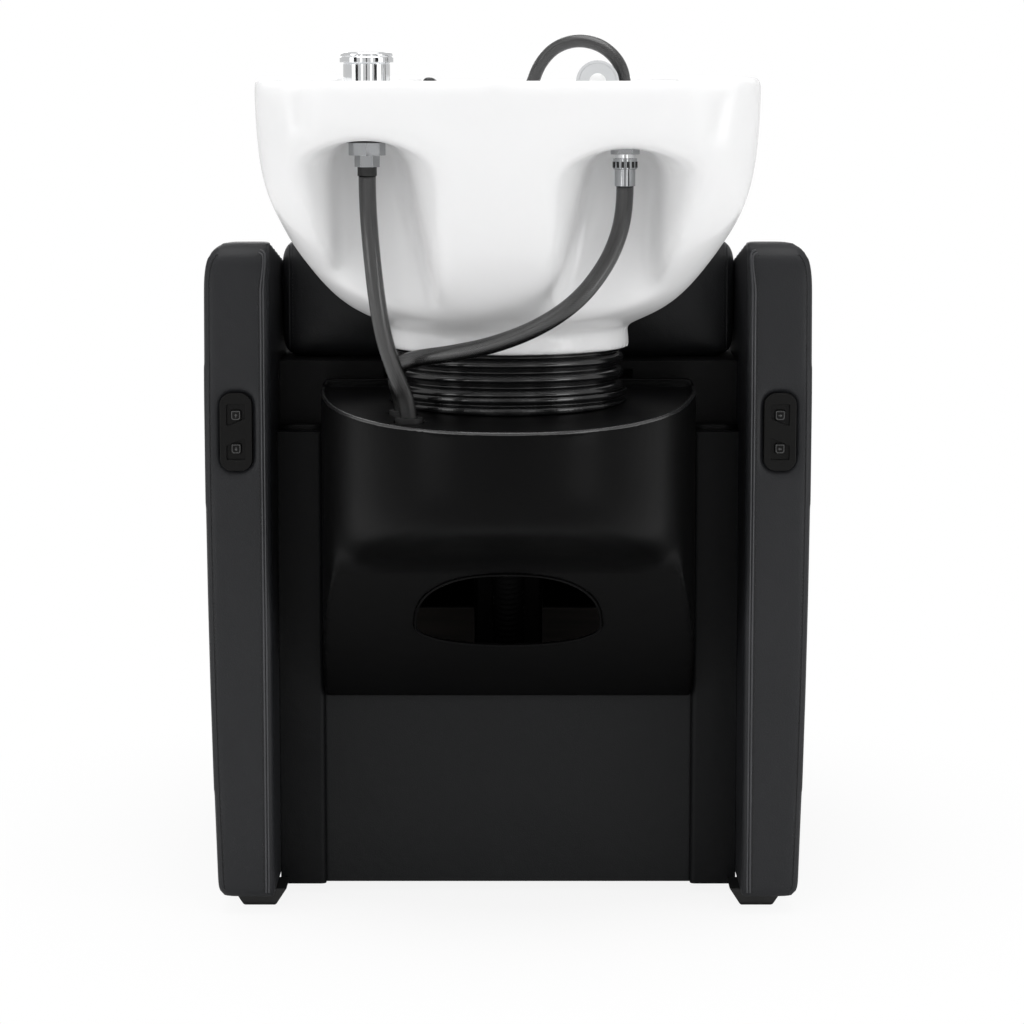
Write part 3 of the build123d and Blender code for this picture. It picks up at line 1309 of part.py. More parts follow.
def cushion_body(plane, half, low, high, low_thickness, high_thickness, high_lean):
    """A box cushion on a plane, with a crown on its face and sides that draw in."""
    across = Plane(plane.origin, x_dir=plane.x_dir, z_dir=-plane.y_dir)
    along = Plane(plane.origin, x_dir=plane.y_dir, z_dir=plane.x_dir)
    thick = max(low_thickness, high_thickness)
    length = high - low + abs(high_lean)
    with BuildPart() as cushion:
        with BuildSketch(along.offset(-half)) as side:
            with BuildLine():
                Polyline((low, low_thickness), (low, 0), (high, 0), (high + high_lean, high_thickness))
                ThreePointArc(
                    (low, low_thickness),
                    ((low + high + high_lean) / 2, (low_thickness + high_thickness) / 2 + CUSHION_CROWN / 2),
                    (high + high_lean, high_thickness),
                )
            make_face()
        extrude(amount=2 * half)
        with BuildSketch(across.offset(-high - abs(high_lean))):
            with BuildLine():
                Line((-half, 0), (half, 0))
                ThreePointArc((half, 0), (half - CUSHION_DRAW, thick / 2), (half, thick - CUSHION_CROWN))
                ThreePointArc((half, thick - CUSHION_CROWN), (0, thick + CUSHION_CROWN / 2),
                              (-half, thick - CUSHION_CROWN))
                ThreePointArc((-half, thick - CUSHION_CROWN), (-half + CUSHION_DRAW, thick / 2), (-half, 0))
            make_face()
        extrude(amount=length + abs(high_lean), mode=Mode.INTERSECT)
    return cushion


back_plane = Plane(
    origin=(0, back_face(back_origin_z, BACK_THICKNESS), back_origin_z),
    x_dir=(1, 0, 0),
    z_dir=(0, -math.cos(lean), math.sin(lean)),
)
back_high = (back_top - back_origin_z) / math.cos(lean)
backrest_cushion = cushion_body(
    back_plane.offset(RUNNING_GAP), arm_in_x - BACK_SIDE_GAP, -BACK_BELOW, back_high,
    BACK_THICKNESS - RUNNING_GAP, BACK_THICKNESS - RUNNING_GAP, -CUSHION_EDGE,
)
finish(backrest_cushion, "backrest_cushion")

BOARD_TOP_DROP = 147.0
BACK_BOARD_INSET = 12.0
back_board_half = arm_in_x - BACK_BOARD_INSET
board_top = RIM_HEIGHT - BOARD_TOP_DROP
with BuildPart() as backrest_board:
    with BuildSketch(Plane.YZ.offset(-back_board_half)):
        with BuildLine():
            Polyline(
                (back_face(SEAT_TUBE_TOP, BACK_THICKNESS), SEAT_TUBE_TOP),
                (back_face(SEAT_TUBE_TOP, BACK_THICKNESS + BOARD), SEAT_TUBE_TOP),
                (back_face(board_top, BACK_THICKNESS + BOARD), board_top),
                (back_face(board_top, BACK_THICKNESS), board_top),
                close=True,
            )
        make_face()
    extrude(amount=2 * back_board_half)
finish(backrest_board, "backrest_board")

# Upper back: a padded block behind the backrest, scooped out to clear the bowl
UPPER_SETBACK = 80.0
UPPER_DROP = 185.0
UPPER_CORNER = 22.0
UPPER_EDGE = 12.0
UPPER_FRONT_GAP = 1.0
BOWL_CLEARANCE = 30.0
CLEARANCE_SECTIONS = 6
upper_half = arm_in_x - RUNNING_GAP
upper_y = pillar_y - UPPER_SETBACK
upper_top = RIM_HEIGHT - UPPER_DROP
clearance_sections = []
for height_share, half_share, rear_share, front_share, corner in list(zip(
    SECTION_HEIGHT_SHARES,
    SECTION_HALF_SHARES,
    SECTION_REAR_SHARES,
    SECTION_FRONT_SHARES,
    FRONT_CORNER_SHARES,
))[:CLEARANCE_SECTIONS]:
    half = half_basin * half_share + BOWL_CLEARANCE
    front = REACH_FRONT * front_share + BOWL_CLEARANCE
    rear = REACH_REAR * rear_share + BOWL_CLEARANCE
    radius = min(half, front) * corner
    clearance_sections.append(
        basin_section(
            bowl_z + bowl_height * height_share - BOWL_CLEARANCE / 2, half, rear, front, radius, radius
        )
    )
upper_z = band_top + RUNNING_GAP
with BuildPart() as upper_back_pad:
    with BuildSketch(Plane.YZ.offset(-upper_half)) as block:
        with BuildLine():
            Polyline(
                (upper_y, upper_z),
                (upper_y, upper_top),
                (back_face(upper_top, BACK_THICKNESS + BOARD) + UPPER_FRONT_GAP, upper_top),
                (back_face(upper_z, BACK_THICKNESS + BOARD) + UPPER_FRONT_GAP, upper_z),
                close=True,
            )
        make_face()
        fillet(block.vertices().group_by(Axis.Y)[-1].sort_by(Axis.X)[-1], UPPER_EDGE)
    extrude(amount=2 * upper_half)
    fillet(
        upper_back_pad.edges().filter_by(Axis.Y).group_by(Axis.Z)[-1], UPPER_CORNER
    )
    loft(clearance_sections, mode=Mode.SUBTRACT)
finish(upper_back_pad, "upper_back_pad")

# Frame: cross tubes between the arms, with the seat's slide rails on two of them
SEAT_FRONT_SETBACK = 30.0
REAR_TUBE_FORWARD = 14.0
LOWER_TUBE_SETBACK = 50.0
LOWER_TUBE_HEIGHT = 60.0
RAIL_X = 180.0
RAIL_WIDTH = 20.0
RAIL_HEIGHT = 40.0
RAIL_REAR_GAP = 5.0
front_tube_y = arm_front_y + SEAT_FRONT_SETBACK + SEAT_TUBE / 2
rear_tube_y = back_face(SEAT_TUBE_TOP, BACK_THICKNESS + BOARD) + REAR_TUBE_FORWARD - SEAT_TUBE
tube_z = SEAT_TUBE_TOP - SEAT_TUBE / 2


def tube_sketch(y, z):
    """The section of a square cross tube."""
    with BuildSketch(Plane.YZ.offset(-arm_in_x)) as section:
        with Locations((y, z)):
            RectangleRounded(SEAT_TUBE, SEAT_TUBE, 2 * SEAT_TUBE_WALL)
            RectangleRounded(
                SEAT_TUBE - 2 * SEAT_TUBE_WALL, SEAT_TUBE - 2 * SEAT_TUBE_WALL, SEAT_TUBE_WALL,
                mode=Mode.SUBTRACT,
            )
    return section.sketch


seat_tubes = [tube_sketch(y, tube_z) for y in (front_tube_y, rear_tube_y)]
with BuildPart() as seat_cross_tubes:
    for section in seat_tubes:
        extrude(section, amount=2 * arm_in_x)
finish(seat_cross_tubes, "seat_cross_tubes")

lower_tube_y = arm_front_y + LOWER_TUBE_SETBACK + SEAT_TUBE / 2
lower_tube = tube_sketch(lower_tube_y, LOWER_TUBE_HEIGHT + SEAT_TUBE / 2)
with BuildPart() as lower_cross_tube:
    extrude(lower_tube, amount=2 * arm_in_x)
finish(lower_cross_tube, "lower_cross_tube")

rail_front = front_tube_y - SEAT_TUBE / 2
rail_rear = back_face(SEAT_TUBE_TOP, BACK_THICKNESS) - RAIL_REAR_GAP
RAIL_GROOVE = 6.0
with BuildPart() as seat_rails:
    with BuildSketch(level(0, (rail_front + rail_rear) / 2, SEAT_TUBE_TOP)):
        with Locations((RAIL_X, 0), (-RAIL_X, 0)):
            Rectangle(RAIL_WIDTH, rail_rear - rail_front)
    extrude(amount=RAIL_HEIGHT)
    for side in (1, -1):
        with BuildSketch(Plane.XZ.offset(-rail_rear)):
            with Locations((side * (RAIL_X - RAIL_WIDTH / 2), SEAT_TUBE_TOP + RAIL_HEIGHT / 2)):
                Rectangle(2 * RAIL_GROOVE, RAIL_HEIGHT / 2)
        extrude(amount=rail_rear - rail_front, mode=Mode.SUBTRACT)
finish(seat_rails, "seat_rails")

# Seat drive: a gear motor turns a screw between two bearings on the cross tubes
SCREW_RADIUS = 7.0
GEARBOX_HALF = 32.0
GEARBOX_LENGTH = 52.0
GEARBOX_HEIGHT = 38.5
MOTOR_RADIUS = 18.0
MOTOR_LENGTH = 78.0
BEARING_HALF = 15.0
BEARING_LENGTH = 12.0
BEARING_HEIGHT = 34.0
BEARING_GAP = 4.0
screw_z = SEAT_TUBE_TOP + RAIL_HEIGHT / 2
gearbox_front = front_tube_y - SEAT_TUBE / 2
gearbox_rear = gearbox_front + GEARBOX_LENGTH
bearing_rear = rail_rear - BEARING_GAP
with BuildPart() as seat_drive:
    with BuildSketch(level(0, (gearbox_front + gearbox_rear) / 2, SEAT_TUBE_TOP)):
        RectangleRounded(2 * GEARBOX_HALF, GEARBOX_LENGTH, SHEET)
    extrude(amount=GEARBOX_HEIGHT)
    with BuildSketch(Plane.YZ.offset(GEARBOX_HALF)):
        with Locations(((gearbox_front + gearbox_rear) / 2, screw_z)):
            Circle(MOTOR_RADIUS)
    extrude(amount=MOTOR_LENGTH)
    with BuildSketch(level(0, bearing_rear - BEARING_LENGTH / 2, SEAT_TUBE_TOP)):
        Rectangle(2 * BEARING_HALF, BEARING_LENGTH)
    extrude(amount=BEARING_HEIGHT)
    with BuildSketch(rear_plane(bearing_rear)):
        with Locations((0, screw_z)):
            Circle(SCREW_RADIUS)
    extrude(amount=bearing_rear - gearbox_rear)
finish(seat_drive, "seat_drive")

# Seat: a board that slides on the rails, a cushion and the leg rest's hinge at its front
SEAT_FRONT_REACH = 112.0
SEAT_BOARD = 15.0
SEAT_SIDE_GAP = 22.0
SEAT_CUSHION_GAP = 5.0
SEAT_FRONT_THICKNESS = 94.0
SEAT_REAR_THICKNESS = 70.0
SEAT_BACK_GAP = 4.0
SEAT_SIDE_GUIDE = 8.0
SEAT_GUIDE_DEPTH = 14.0
GUIDE_GAP = 0.5
NUT_HALF = 20.0
NUT_LENGTH = 20.0
NUT_FROM_REAR = 50.0
NUT_DROP = 36.0
LEG_AXIS_REACH = 90.0
LEG_AXIS_HEIGHT = 338.0
LUG_RADIUS = 10.0
LUG_THICKNESS = 8.0
LUG_X = 155.0
ROD_RADIUS = 5.0
ROD_OVERRUN = 5.0
seat_front = -rear_y + SEAT_FRONT_REACH
seat_board_z = SEAT_TUBE_TOP + RAIL_HEIGHT + RUNNING_GAP
seat_cushion_z = seat_board_z + SEAT_BOARD
seat_rear = back_face(seat_cushion_z, -SEAT_BACK_GAP)
board_rear = back_face(seat_board_z, -SEAT_BACK_GAP)
axis_y = -rear_y + LEG_AXIS_REACH
seat_lug_xs = (LUG_X, -LUG_X - LUG_THICKNESS)
nut_rear = rail_rear - NUT_FROM_REAR


def hinge_lug(x, root, root_low, root_high):
    """A lug from a root edge to a round end on the leg rest's hinge axis."""
    with BuildSketch(Plane.YZ.offset(x)) as lug:
        with BuildLine():
            Polyline(
                (root, root_low),
                (axis_y, LEG_AXIS_HEIGHT - LUG_RADIUS),
                (axis_y, LEG_AXIS_HEIGHT + LUG_RADIUS),
                (root, root_high),
                close=True,
            )
        make_face()
        with Locations((axis_y, LEG_AXIS_HEIGHT)):
            Circle(LUG_RADIUS)
            Circle(ROD_RADIUS + PIN_GAP, mode=Mode.SUBTRACT)
    return lug.sketch


lug_root_z = seat_board_z + SEAT_BOARD
seat_lugs = [
    hinge_lug(x, seat_front + ALCOVE_OVERRUN, seat_board_z - LUG_RADIUS, lug_root_z) for x in seat_lug_xs
]
with BuildPart() as seat_board:
    with BuildSketch(level(0, (seat_front + board_rear) / 2, seat_board_z)):
        Rectangle(2 * (arm_in_x - SEAT_SIDE_GAP), board_rear - seat_front)
    extrude(amount=SEAT_BOARD)
    for side in (1, -1):
        guide_in = RAIL_X + RAIL_WIDTH / 2 + GUIDE_GAP
        guide_x = side * (guide_in + SEAT_SIDE_GUIDE / 2)
        with BuildSketch(level(guide_x, (rail_front + board_rear) / 2, seat_board_z)):
            Rectangle(SEAT_SIDE_GUIDE, board_rear - rail_front)
        extrude(amount=-SEAT_GUIDE_DEPTH)
    with BuildSketch(level(0, nut_rear - NUT_LENGTH / 2, seat_board_z)):
        Rectangle(2 * NUT_HALF, NUT_LENGTH)
    extrude(amount=-NUT_DROP)
    with BuildSketch(rear_plane(nut_rear)):
        with Locations((0, screw_z)):
            Circle(SCREW_RADIUS + PIN_GAP)
    extrude(amount=NUT_LENGTH, mode=Mode.SUBTRACT)
    for lug in seat_lugs:
        extrude(lug, amount=LUG_THICKNESS)
finish(seat_board, "seat_board")

seat_plane = Plane((0, 0, seat_cushion_z), x_dir=(1, 0, 0), z_dir=(0, 0, 1))
seat_lean = SEAT_REAR_THICKNESS * math.tan(lean)
seat_cushion = cushion_body(
    seat_plane, arm_in_x - SEAT_CUSHION_GAP, seat_front, seat_rear,
    SEAT_FRONT_THICKNESS, SEAT_REAR_THICKNESS, seat_lean,
)
finish(seat_cushion, "seat_cushion")

with BuildPart() as leg_hinge_rod:
    with BuildSketch(Plane.YZ.offset(-LUG_X - LUG_THICKNESS - ROD_OVERRUN)):
        with Locations((axis_y, LEG_AXIS_HEIGHT)):
            Circle(ROD_RADIUS)
    extrude(amount=2 * (LUG_X + LUG_THICKNESS + ROD_OVERRUN))
finish(leg_hinge_rod, "leg_hinge_rod")

LEG_MOTOR_WIDTH = 70.0
LEG_MOTOR_LENGTH = 80.0
LEG_MOTOR_HEIGHT = 60.0
LEG_MOTOR_SETBACK = 18.0
LEG_ARM_WIDTH = 30.0
LEG_ARM_X = 10.0
motor_front = seat_front + LEG_MOTOR_SETBACK
motor_arm = hinge_lug(
    LEG_ARM_X, motor_front + SHEET, seat_board_z - 2 * LUG_RADIUS, seat_board_z - LUG_RADIUS / 2
)
with BuildPart() as leg_gearmotor:
    with BuildSketch(level(LEG_ARM_X + LEG_MOTOR_WIDTH / 2, motor_front + LEG_MOTOR_LENGTH / 2, seat_board_z)):
        RectangleRounded(LEG_MOTOR_WIDTH, LEG_MOTOR_LENGTH, SHEET)
    extrude(amount=-LEG_MOTOR_HEIGHT)
    extrude(motor_arm, amount=LEG_ARM_WIDTH)
finish(leg_gearmotor, "leg_gearmotor")

# Leg rest: a padded board that hangs from the hinge
LEG_CUSHION = 68.0
LEG_BOARD = 10.0
LEG_TOP = 350.0
LEG_BOTTOM = 66.0
LEG_SIDE_GAP = 24.0
LEG_BOARD_INSET = 13.0
LEG_EDGE = 14.0
leg_front_y = -rear_y
leg_half = arm_in_x - LEG_SIDE_GAP
leg_board_half = leg_half - LEG_BOARD_INSET
leg_board_front = leg_front_y + LEG_CUSHION
leg_board_rear = leg_board_front + LEG_BOARD
leg_lug_xs = (LUG_X - LUG_THICKNESS - LUG_GAP, -LUG_X + LUG_GAP)
leg_lugs = [
    hinge_lug(
        x, leg_board_rear - LEG_BOARD / 2,
        LEG_AXIS_HEIGHT - 2 * LUG_RADIUS, LEG_AXIS_HEIGHT + LUG_RADIUS,
    )
    for x in leg_lug_xs
]
with BuildPart() as legrest_board:
    with BuildSketch(rear_plane(leg_board_rear)):
        with Locations((0, (LEG_TOP + LEG_BOTTOM) / 2)):
            RectangleRounded(2 * leg_board_half, LEG_TOP - LEG_BOTTOM, LEG_EDGE)
    extrude(amount=LEG_BOARD)
    for lug in leg_lugs:
        extrude(lug, amount=LUG_THICKNESS)
finish(legrest_board, "legrest_board")

leg_plane = Plane(
    origin=(0, leg_board_front - RUNNING_GAP, LEG_BOTTOM), x_dir=(1, 0, 0), z_dir=(0, -1, 0)
)
legrest_cushion = cushion_body(
    leg_plane, leg_half, 0, LEG_TOP - LEG_BOTTOM,
    LEG_CUSHION - CUSHION_CROWN / 2, LEG_CUSHION - CUSHION_CROWN / 2, 0,
)
finish(legrest_cushion, "legrest_cushion")
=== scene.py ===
# %% [markdown]
# # A shampoo chair with a ceramic basin
# This lesson dresses a CAD model of a backwash chair: a white glazed basin, black rubber
# bellows and hoses, a glossy rear cover, and arms and cushions in charcoal vinyl.
# The CAD frame gives the size and place of every node. A few things have no CAD shape and
# are fitted to the photo: the hand hole's outline, the tap's cap, the union's grooves
# and slots, the dome of the hand shower, the seams and the prints on the keys.

# %% Load the frame
import math

import bmesh
import bpy
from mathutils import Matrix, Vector
from mathutils.bvhtree import BVHTree


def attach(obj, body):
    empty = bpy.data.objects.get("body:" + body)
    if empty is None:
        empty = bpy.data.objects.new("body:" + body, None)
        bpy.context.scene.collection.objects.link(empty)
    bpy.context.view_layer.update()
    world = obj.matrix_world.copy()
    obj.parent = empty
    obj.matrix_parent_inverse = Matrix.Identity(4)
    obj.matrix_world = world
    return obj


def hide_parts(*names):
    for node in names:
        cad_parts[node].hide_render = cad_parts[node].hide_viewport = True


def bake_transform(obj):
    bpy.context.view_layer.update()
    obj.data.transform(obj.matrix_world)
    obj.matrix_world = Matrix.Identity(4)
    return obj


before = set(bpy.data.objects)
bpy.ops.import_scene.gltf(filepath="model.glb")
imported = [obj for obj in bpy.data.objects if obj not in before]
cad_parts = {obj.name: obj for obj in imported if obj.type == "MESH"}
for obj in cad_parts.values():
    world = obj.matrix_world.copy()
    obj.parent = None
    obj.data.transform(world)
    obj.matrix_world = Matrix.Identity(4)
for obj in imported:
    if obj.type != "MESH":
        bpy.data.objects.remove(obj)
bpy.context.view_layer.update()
scene = bpy.context.scene
print("CAD nodes", len(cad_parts))

UNION_MIDDLE = (-0.121, 0.590)
TAP_MIDDLE = (0.145, 0.590)
DRAIN_MIDDLE = (0.0, 0.39)
SMOOTH_FACTOR = 0.5
WELD = 1e-6


def linked(name, data):
    """A new object in the scene with the given data."""
    made = bpy.data.objects.new(name, data)
    scene.collection.objects.link(made)
    return made


def from_shape(name, shape):
    """A new object in the scene from a closed bmesh, which is freed."""
    bmesh.ops.recalc_face_normals(shape, faces=shape.faces)
    mesh = bpy.data.meshes.new(name)
    shape.to_mesh(mesh)
    shape.free()
    return linked(name, mesh)

# %% [markdown]
# ## Camera
# The photograph is taken from behind with a long lens, at about the height of the basin's
# rim. A camera close to the chair's middle line that tilts down by seven and a half degrees
# gives the same lines. Its place is in metres and its lens in millimetres.

# %% Camera at the photographer's place
lens = bpy.data.cameras.new("photo_camera")
lens.lens = 116.0
lens.sensor_width = 36.0
lens.clip_start, lens.clip_end = 0.05, 60.0
TILT_DOWN = 7.51
camera = linked("photo_camera", lens)
camera.location = (-0.0044, 4.01, 0.935)
camera.rotation_euler = (math.radians(90 - TILT_DOWN), 0.0, math.radians(180))
scene.camera = camera
scene.view_settings.view_transform = "Standard"


# %% [markdown]
# ## Light
# Black vinyl and white glaze need broad, soft lamps: their long highlights draw the curves.
# The backdrop is white for the camera only, so it does not wash out the dark parts.

# %% World and floor
world = bpy.data.worlds.new("studio")
scene.world = world
world.use_nodes = True
sky = world.node_tree
ambient = sky.nodes["Background"]
ambient.inputs["Color"].default_value = (1.0, 1.0, 1.0, 1.0)
ambient.inputs["Strength"].default_value = 0.66
add, link = sky.nodes.new, sky.links.new
paper = add("ShaderNodeBackground")
paper.inputs["Color"].default_value = (1.0, 1.0, 1.0, 1.0)
paper.inputs["Strength"].default_value = 1.0
paths = add("ShaderNodeLightPath")
sky_mix = add("ShaderNodeMixShader")
link(paths.outputs["Is Camera Ray"], sky_mix.inputs[0])
link(ambient.outputs[0], sky_mix.inputs[1])
link(paper.outputs[0], sky_mix.inputs[2])
link(sky_mix.outputs[0], sky.nodes["World Output"].inputs["Surface"])

# %% [markdown]
# The floor is white paper. The camera sees it almost as bright as the backdrop, and only
# under the chair does it keep a soft shadow, which fades out with the distance.

# %% Paper floor
floor_mesh = bpy.data.meshes.new("studio_floor")
floor_mesh.from_pydata([(-9, -9, 0), (9, -9, 0), (9, 9, 0), (-9, 9, 0)], [], [(0, 1, 2, 3)])
studio_floor = linked("studio_floor", floor_mesh)
floor_paint = bpy.data.materials.new("floor_paint")
floor_paint.use_nodes = True
tree = floor_paint.node_tree
matt = tree.nodes["Principled BSDF"]
matt.inputs["Base Color"].default_value = (0.90, 0.90, 0.90, 1.0)
matt.inputs["Roughness"].default_value = 0.9
add, link = tree.nodes.new, tree.links.new
glow = add("ShaderNodeEmission")
glow.inputs["Strength"].default_value = 1.0
floor_place = add("ShaderNodeTexCoord")
away = add("ShaderNodeVectorMath")
away.operation = "LENGTH"
link(floor_place.outputs["Object"], away.inputs[0])
fade_out = add("ShaderNodeMapRange")
fade_out.inputs["From Min"].default_value = 0.35
fade_out.inputs["From Max"].default_value = 0.85
fade_out.inputs["To Min"].default_value = 0.88
fade_out.inputs["To Max"].default_value = 1.0
link(away.outputs["Value"], fade_out.inputs["Value"])
only_seen = add("ShaderNodeLightPath")
white_share = add("ShaderNodeMath")
white_share.operation = "MULTIPLY"
link(fade_out.outputs["Result"], white_share.inputs[0])
link(only_seen.outputs["Is Camera Ray"], white_share.inputs[1])
seen_mix = add("ShaderNodeMixShader")
link(white_share.outputs[0], seen_mix.inputs[0])
link(matt.outputs[0], seen_mix.inputs[1])
link(glow.outputs[0], seen_mix.inputs[2])
link(seen_mix.outputs[0], tree.nodes["Material Output"].inputs["Surface"])
floor_mesh.materials.append(floor_paint)


# %% [markdown]
# ## Lamps and flags
# Two upright softboxes stand left and right of the camera, and two low ones light the
# basin from below its rim. Two narrow strips draw long highlights, a broad lamp hangs above,
# and one stands in front of the chair. Black flags put dark bands into the chrome, which
# would look like grey plastic under an even sky.

# %% Lamps and flags
def softbox(name, place, aim, width, height, watts):
    """A rectangular lamp that looks at a point."""
    data = bpy.data.lights.new(name, "AREA")
    data.shape = "RECTANGLE"
    data.size, data.size_y, data.energy = width, height, watts
    lamp = linked(name, data)
    lamp.location = place
    lamp.rotation_mode = "QUATERNION"
    lamp.rotation_quaternion = (Vector(aim) - Vector(place)).to_track_quat("-Z", "Y")


softbox("left_lamp", (2.7, 2.0, 1.9), (0, 0.4, 0.6), 1.6, 2.2, 12)
softbox("right_lamp", (-2.7, 2.0, 1.7), (0, 0.4, 0.6), 1.6, 2.2, 11)
softbox("top_lamp", (0.0, 0.9, 3.3), (0, 0.35, 0.7), 2.2, 2.2, 44)
softbox("low_left_lamp", (2.4, 2.4, 0.45), (0, 0.5, 0.75), 1.4, 0.8, 12)
softbox("low_right_lamp", (-2.4, 2.4, 0.45), (0, 0.5, 0.75), 1.4, 0.8, 14)
softbox("front_lamp", (0.5, -3.2, 2.2), (0, -0.2, 0.5), 2.0, 2.0, 30)
softbox("left_strip", (1.25, 3.6, 1.1), (0, 0.4, 0.8), 0.5, 1.8, 3)
softbox("right_strip", (-1.25, 3.6, 1.1), (0, 0.4, 0.8), 0.5, 1.8, 3)

FLAG_LOW, FLAG_HIGH = 0.5, 1.5
flag_paint = bpy.data.materials.new("flag_paint")
flag_paint.use_nodes = True
flag_shader = flag_paint.node_tree.nodes["Principled BSDF"]
flag_shader.inputs["Base Color"].default_value = (0.01, 0.01, 0.01, 1.0)
flag_shader.inputs["Roughness"].default_value = 0.9
for name, x, y, half in (
    ("left_flag", 1.62, 1.95, 0.26),
    ("right_flag", -1.33, 1.95, 0.26),
    ("back_flag", 0.0, 4.4, 0.16),
):
    turn = math.atan2(x, y - 0.5)
    dx, dy = half * math.cos(turn), -half * math.sin(turn)
    corners = [
        (x - dx, y - dy, FLAG_LOW), (x + dx, y + dy, FLAG_LOW),
        (x + dx, y + dy, FLAG_HIGH), (x - dx, y - dy, FLAG_HIGH),
    ]
    flag_mesh = bpy.data.meshes.new(name)
    flag_mesh.from_pydata(corners, [], [(0, 1, 2, 3)])
    flag = linked(name, flag_mesh)
    flag_mesh.materials.append(flag_paint)
    flag.visible_camera = False


# %% [markdown]
# ## Finishes
# Each finish is a small node tree on Object coordinates, which are metres here, so a grain
# of one millimetre has a scale of about a thousand. Colours are linear, and the helper
# below lays a slow tint and a fine bump over every base colour.

# %% A helper for finishes
def finish(name, dark, light, roughness, tint_scale, bumps=(), coat=0.0, metal=0.0, edge=0.0,
           specular=0.5):
    """A procedural finish: a slow tint from dark to light, rounded edges and layers of bump."""
    paint = bpy.data.materials.new(name)
    paint.use_nodes = True
    nodes, links = paint.node_tree.nodes, paint.node_tree.links
    shader = nodes["Principled BSDF"]
    place = nodes.new("ShaderNodeTexCoord")
    cloud = nodes.new("ShaderNodeTexNoise")
    cloud.inputs["Scale"].default_value = tint_scale
    cloud.inputs["Detail"].default_value = 4.0
    ramp = nodes.new("ShaderNodeValToRGB")
    ramp.color_ramp.elements[0].position = 0.3
    ramp.color_ramp.elements[1].position = 0.7
    ramp.color_ramp.elements[0].color = (*dark, 1.0)
    ramp.color_ramp.elements[1].color = (*light, 1.0)
    links.new(place.outputs["Object"], cloud.inputs["Vector"])
    links.new(cloud.outputs["Fac"], ramp.inputs["Fac"])
    links.new(ramp.outputs["Color"], shader.inputs["Base Color"])
    spread = nodes.new("ShaderNodeMapRange")
    spread.inputs["To Min"].default_value = max(0.02, roughness - 0.05)
    spread.inputs["To Max"].default_value = roughness + 0.05
    links.new(cloud.outputs["Fac"], spread.inputs["Value"])
    links.new(spread.outputs["Result"], shader.inputs["Roughness"])
    shader.inputs["Metallic"].default_value = metal
    shader.inputs["Coat Weight"].default_value = coat
    shader.inputs["Coat Roughness"].default_value = 0.08
    shader.inputs["Specular IOR Level"].default_value = specular
    below = None
    if edge:
        below = nodes.new("ShaderNodeBevel")
        below.samples = 4
        below.inputs["Radius"].default_value = edge
        links.new(below.outputs["Normal"], shader.inputs["Normal"])
    for kind, scale, strength in bumps:
        if kind == "pebble":
            texture = nodes.new("ShaderNodeTexVoronoi")
            texture.feature = "SMOOTH_F1"
            height = texture.outputs["Distance"]
        else:
            texture = nodes.new("ShaderNodeTexNoise")
            texture.inputs["Detail"].default_value = 3.0
            height = texture.outputs["Fac"]
        texture.inputs["Scale"].default_value = scale
        links.new(place.outputs["Object"], texture.inputs["Vector"])
        relief = nodes.new("ShaderNodeBump")
        relief.inputs["Strength"].default_value = strength
        relief.inputs["Distance"].default_value = 0.4 / scale
        links.new(height, relief.inputs["Height"])
        if below is not None:
            links.new(below.outputs["Normal"], relief.inputs["Normal"])
        links.new(relief.outputs["Normal"], shader.inputs["Normal"])
        below = relief
    return paint


# %% [markdown]
# Vinyl has a fine pebble grain and a weak shine, and moulded plastic only a faint
# unevenness. The blacks of panel, pillars, band and cover differ a little, so that they
# part from each other as in the photo. The brass and the motors are hidden there, and
# their finishes are those of such products. The frame is black powder coat, made darker
# still as painted shade for the inside of the cover seen through the hand hole.

# %% The chair's finishes
vinyl_grain = (("pebble", 700.0, 0.25), ("noise", 60.0, 0.05), ("noise", 9.0, 0.08))
moulded_skin = (("noise", 900.0, 0.06), ("noise", 6.0, 0.03))
glaze = finish("white_glaze", (0.86, 0.86, 0.865), (0.89, 0.89, 0.893), 0.20, 3.0,
        (("noise", 14.0, 0.02),), specular=0.4)
arm_vinyl = finish("charcoal_vinyl", (0.0112, 0.0118, 0.0134), (0.0142, 0.0148, 0.0168), 0.48,
        5.0, vinyl_grain, specular=0.3)
seat_vinyl = finish("black_vinyl", (0.017, 0.0175, 0.019), (0.021, 0.0215, 0.0235), 0.48, 5.0,
        vinyl_grain, specular=0.35)
piping_vinyl = finish("piping_vinyl", (0.030, 0.031, 0.034), (0.040, 0.041, 0.045), 0.32, 20.0,
        (("pebble", 700.0, 0.2),))
panel_vinyl = finish("panel_vinyl", (0.0068, 0.0073, 0.0080), (0.0086, 0.0091, 0.0099), 0.52, 6.0,
        vinyl_grain, edge=0.002, specular=0.2)
pillar_vinyl = finish("pillar_vinyl", (0.0040, 0.0043, 0.0048), (0.0052, 0.0056, 0.0062), 0.50,
        6.0, vinyl_grain, edge=0.002, specular=0.15)
band_vinyl = finish("band_vinyl", (0.0030, 0.0030, 0.0033), (0.0040, 0.0040, 0.0043), 0.5, 6.0,
        vinyl_grain, edge=0.002, specular=0.15)
cover_gloss = finish("cover_gloss", (0.0024, 0.0024, 0.0025), (0.0031, 0.0031, 0.0032), 0.34, 4.0,
        moulded_skin, specular=0.06)
# The rim bead's finish is the cover's black made much lighter: a painted highlight along the rolled
# rim.
lip_gloss_painted_highlight = finish("lip_gloss_painted_highlight", (0.012, 0.012, 0.0125), (0.016, 0.016, 0.0165), 0.25, 4.0,
        moulded_skin, specular=0.9)
pad_satin = finish("pad_satin", (0.0030, 0.0029, 0.0027), (0.0040, 0.0039, 0.0037), 0.36, 20.0,
        moulded_skin, edge=0.0007, specular=0.15)
bellows_rubber = finish("bellows_rubber", (0.005, 0.005, 0.0053), (0.0075, 0.0075, 0.008), 0.20,
        15.0, (("noise", 300.0, 0.03),), coat=0.3)
plain_rubber = finish("plain_rubber", (0.009, 0.009, 0.009), (0.013, 0.013, 0.013), 0.5, 15.0,
        (("noise", 400.0, 0.08),), edge=0.001)
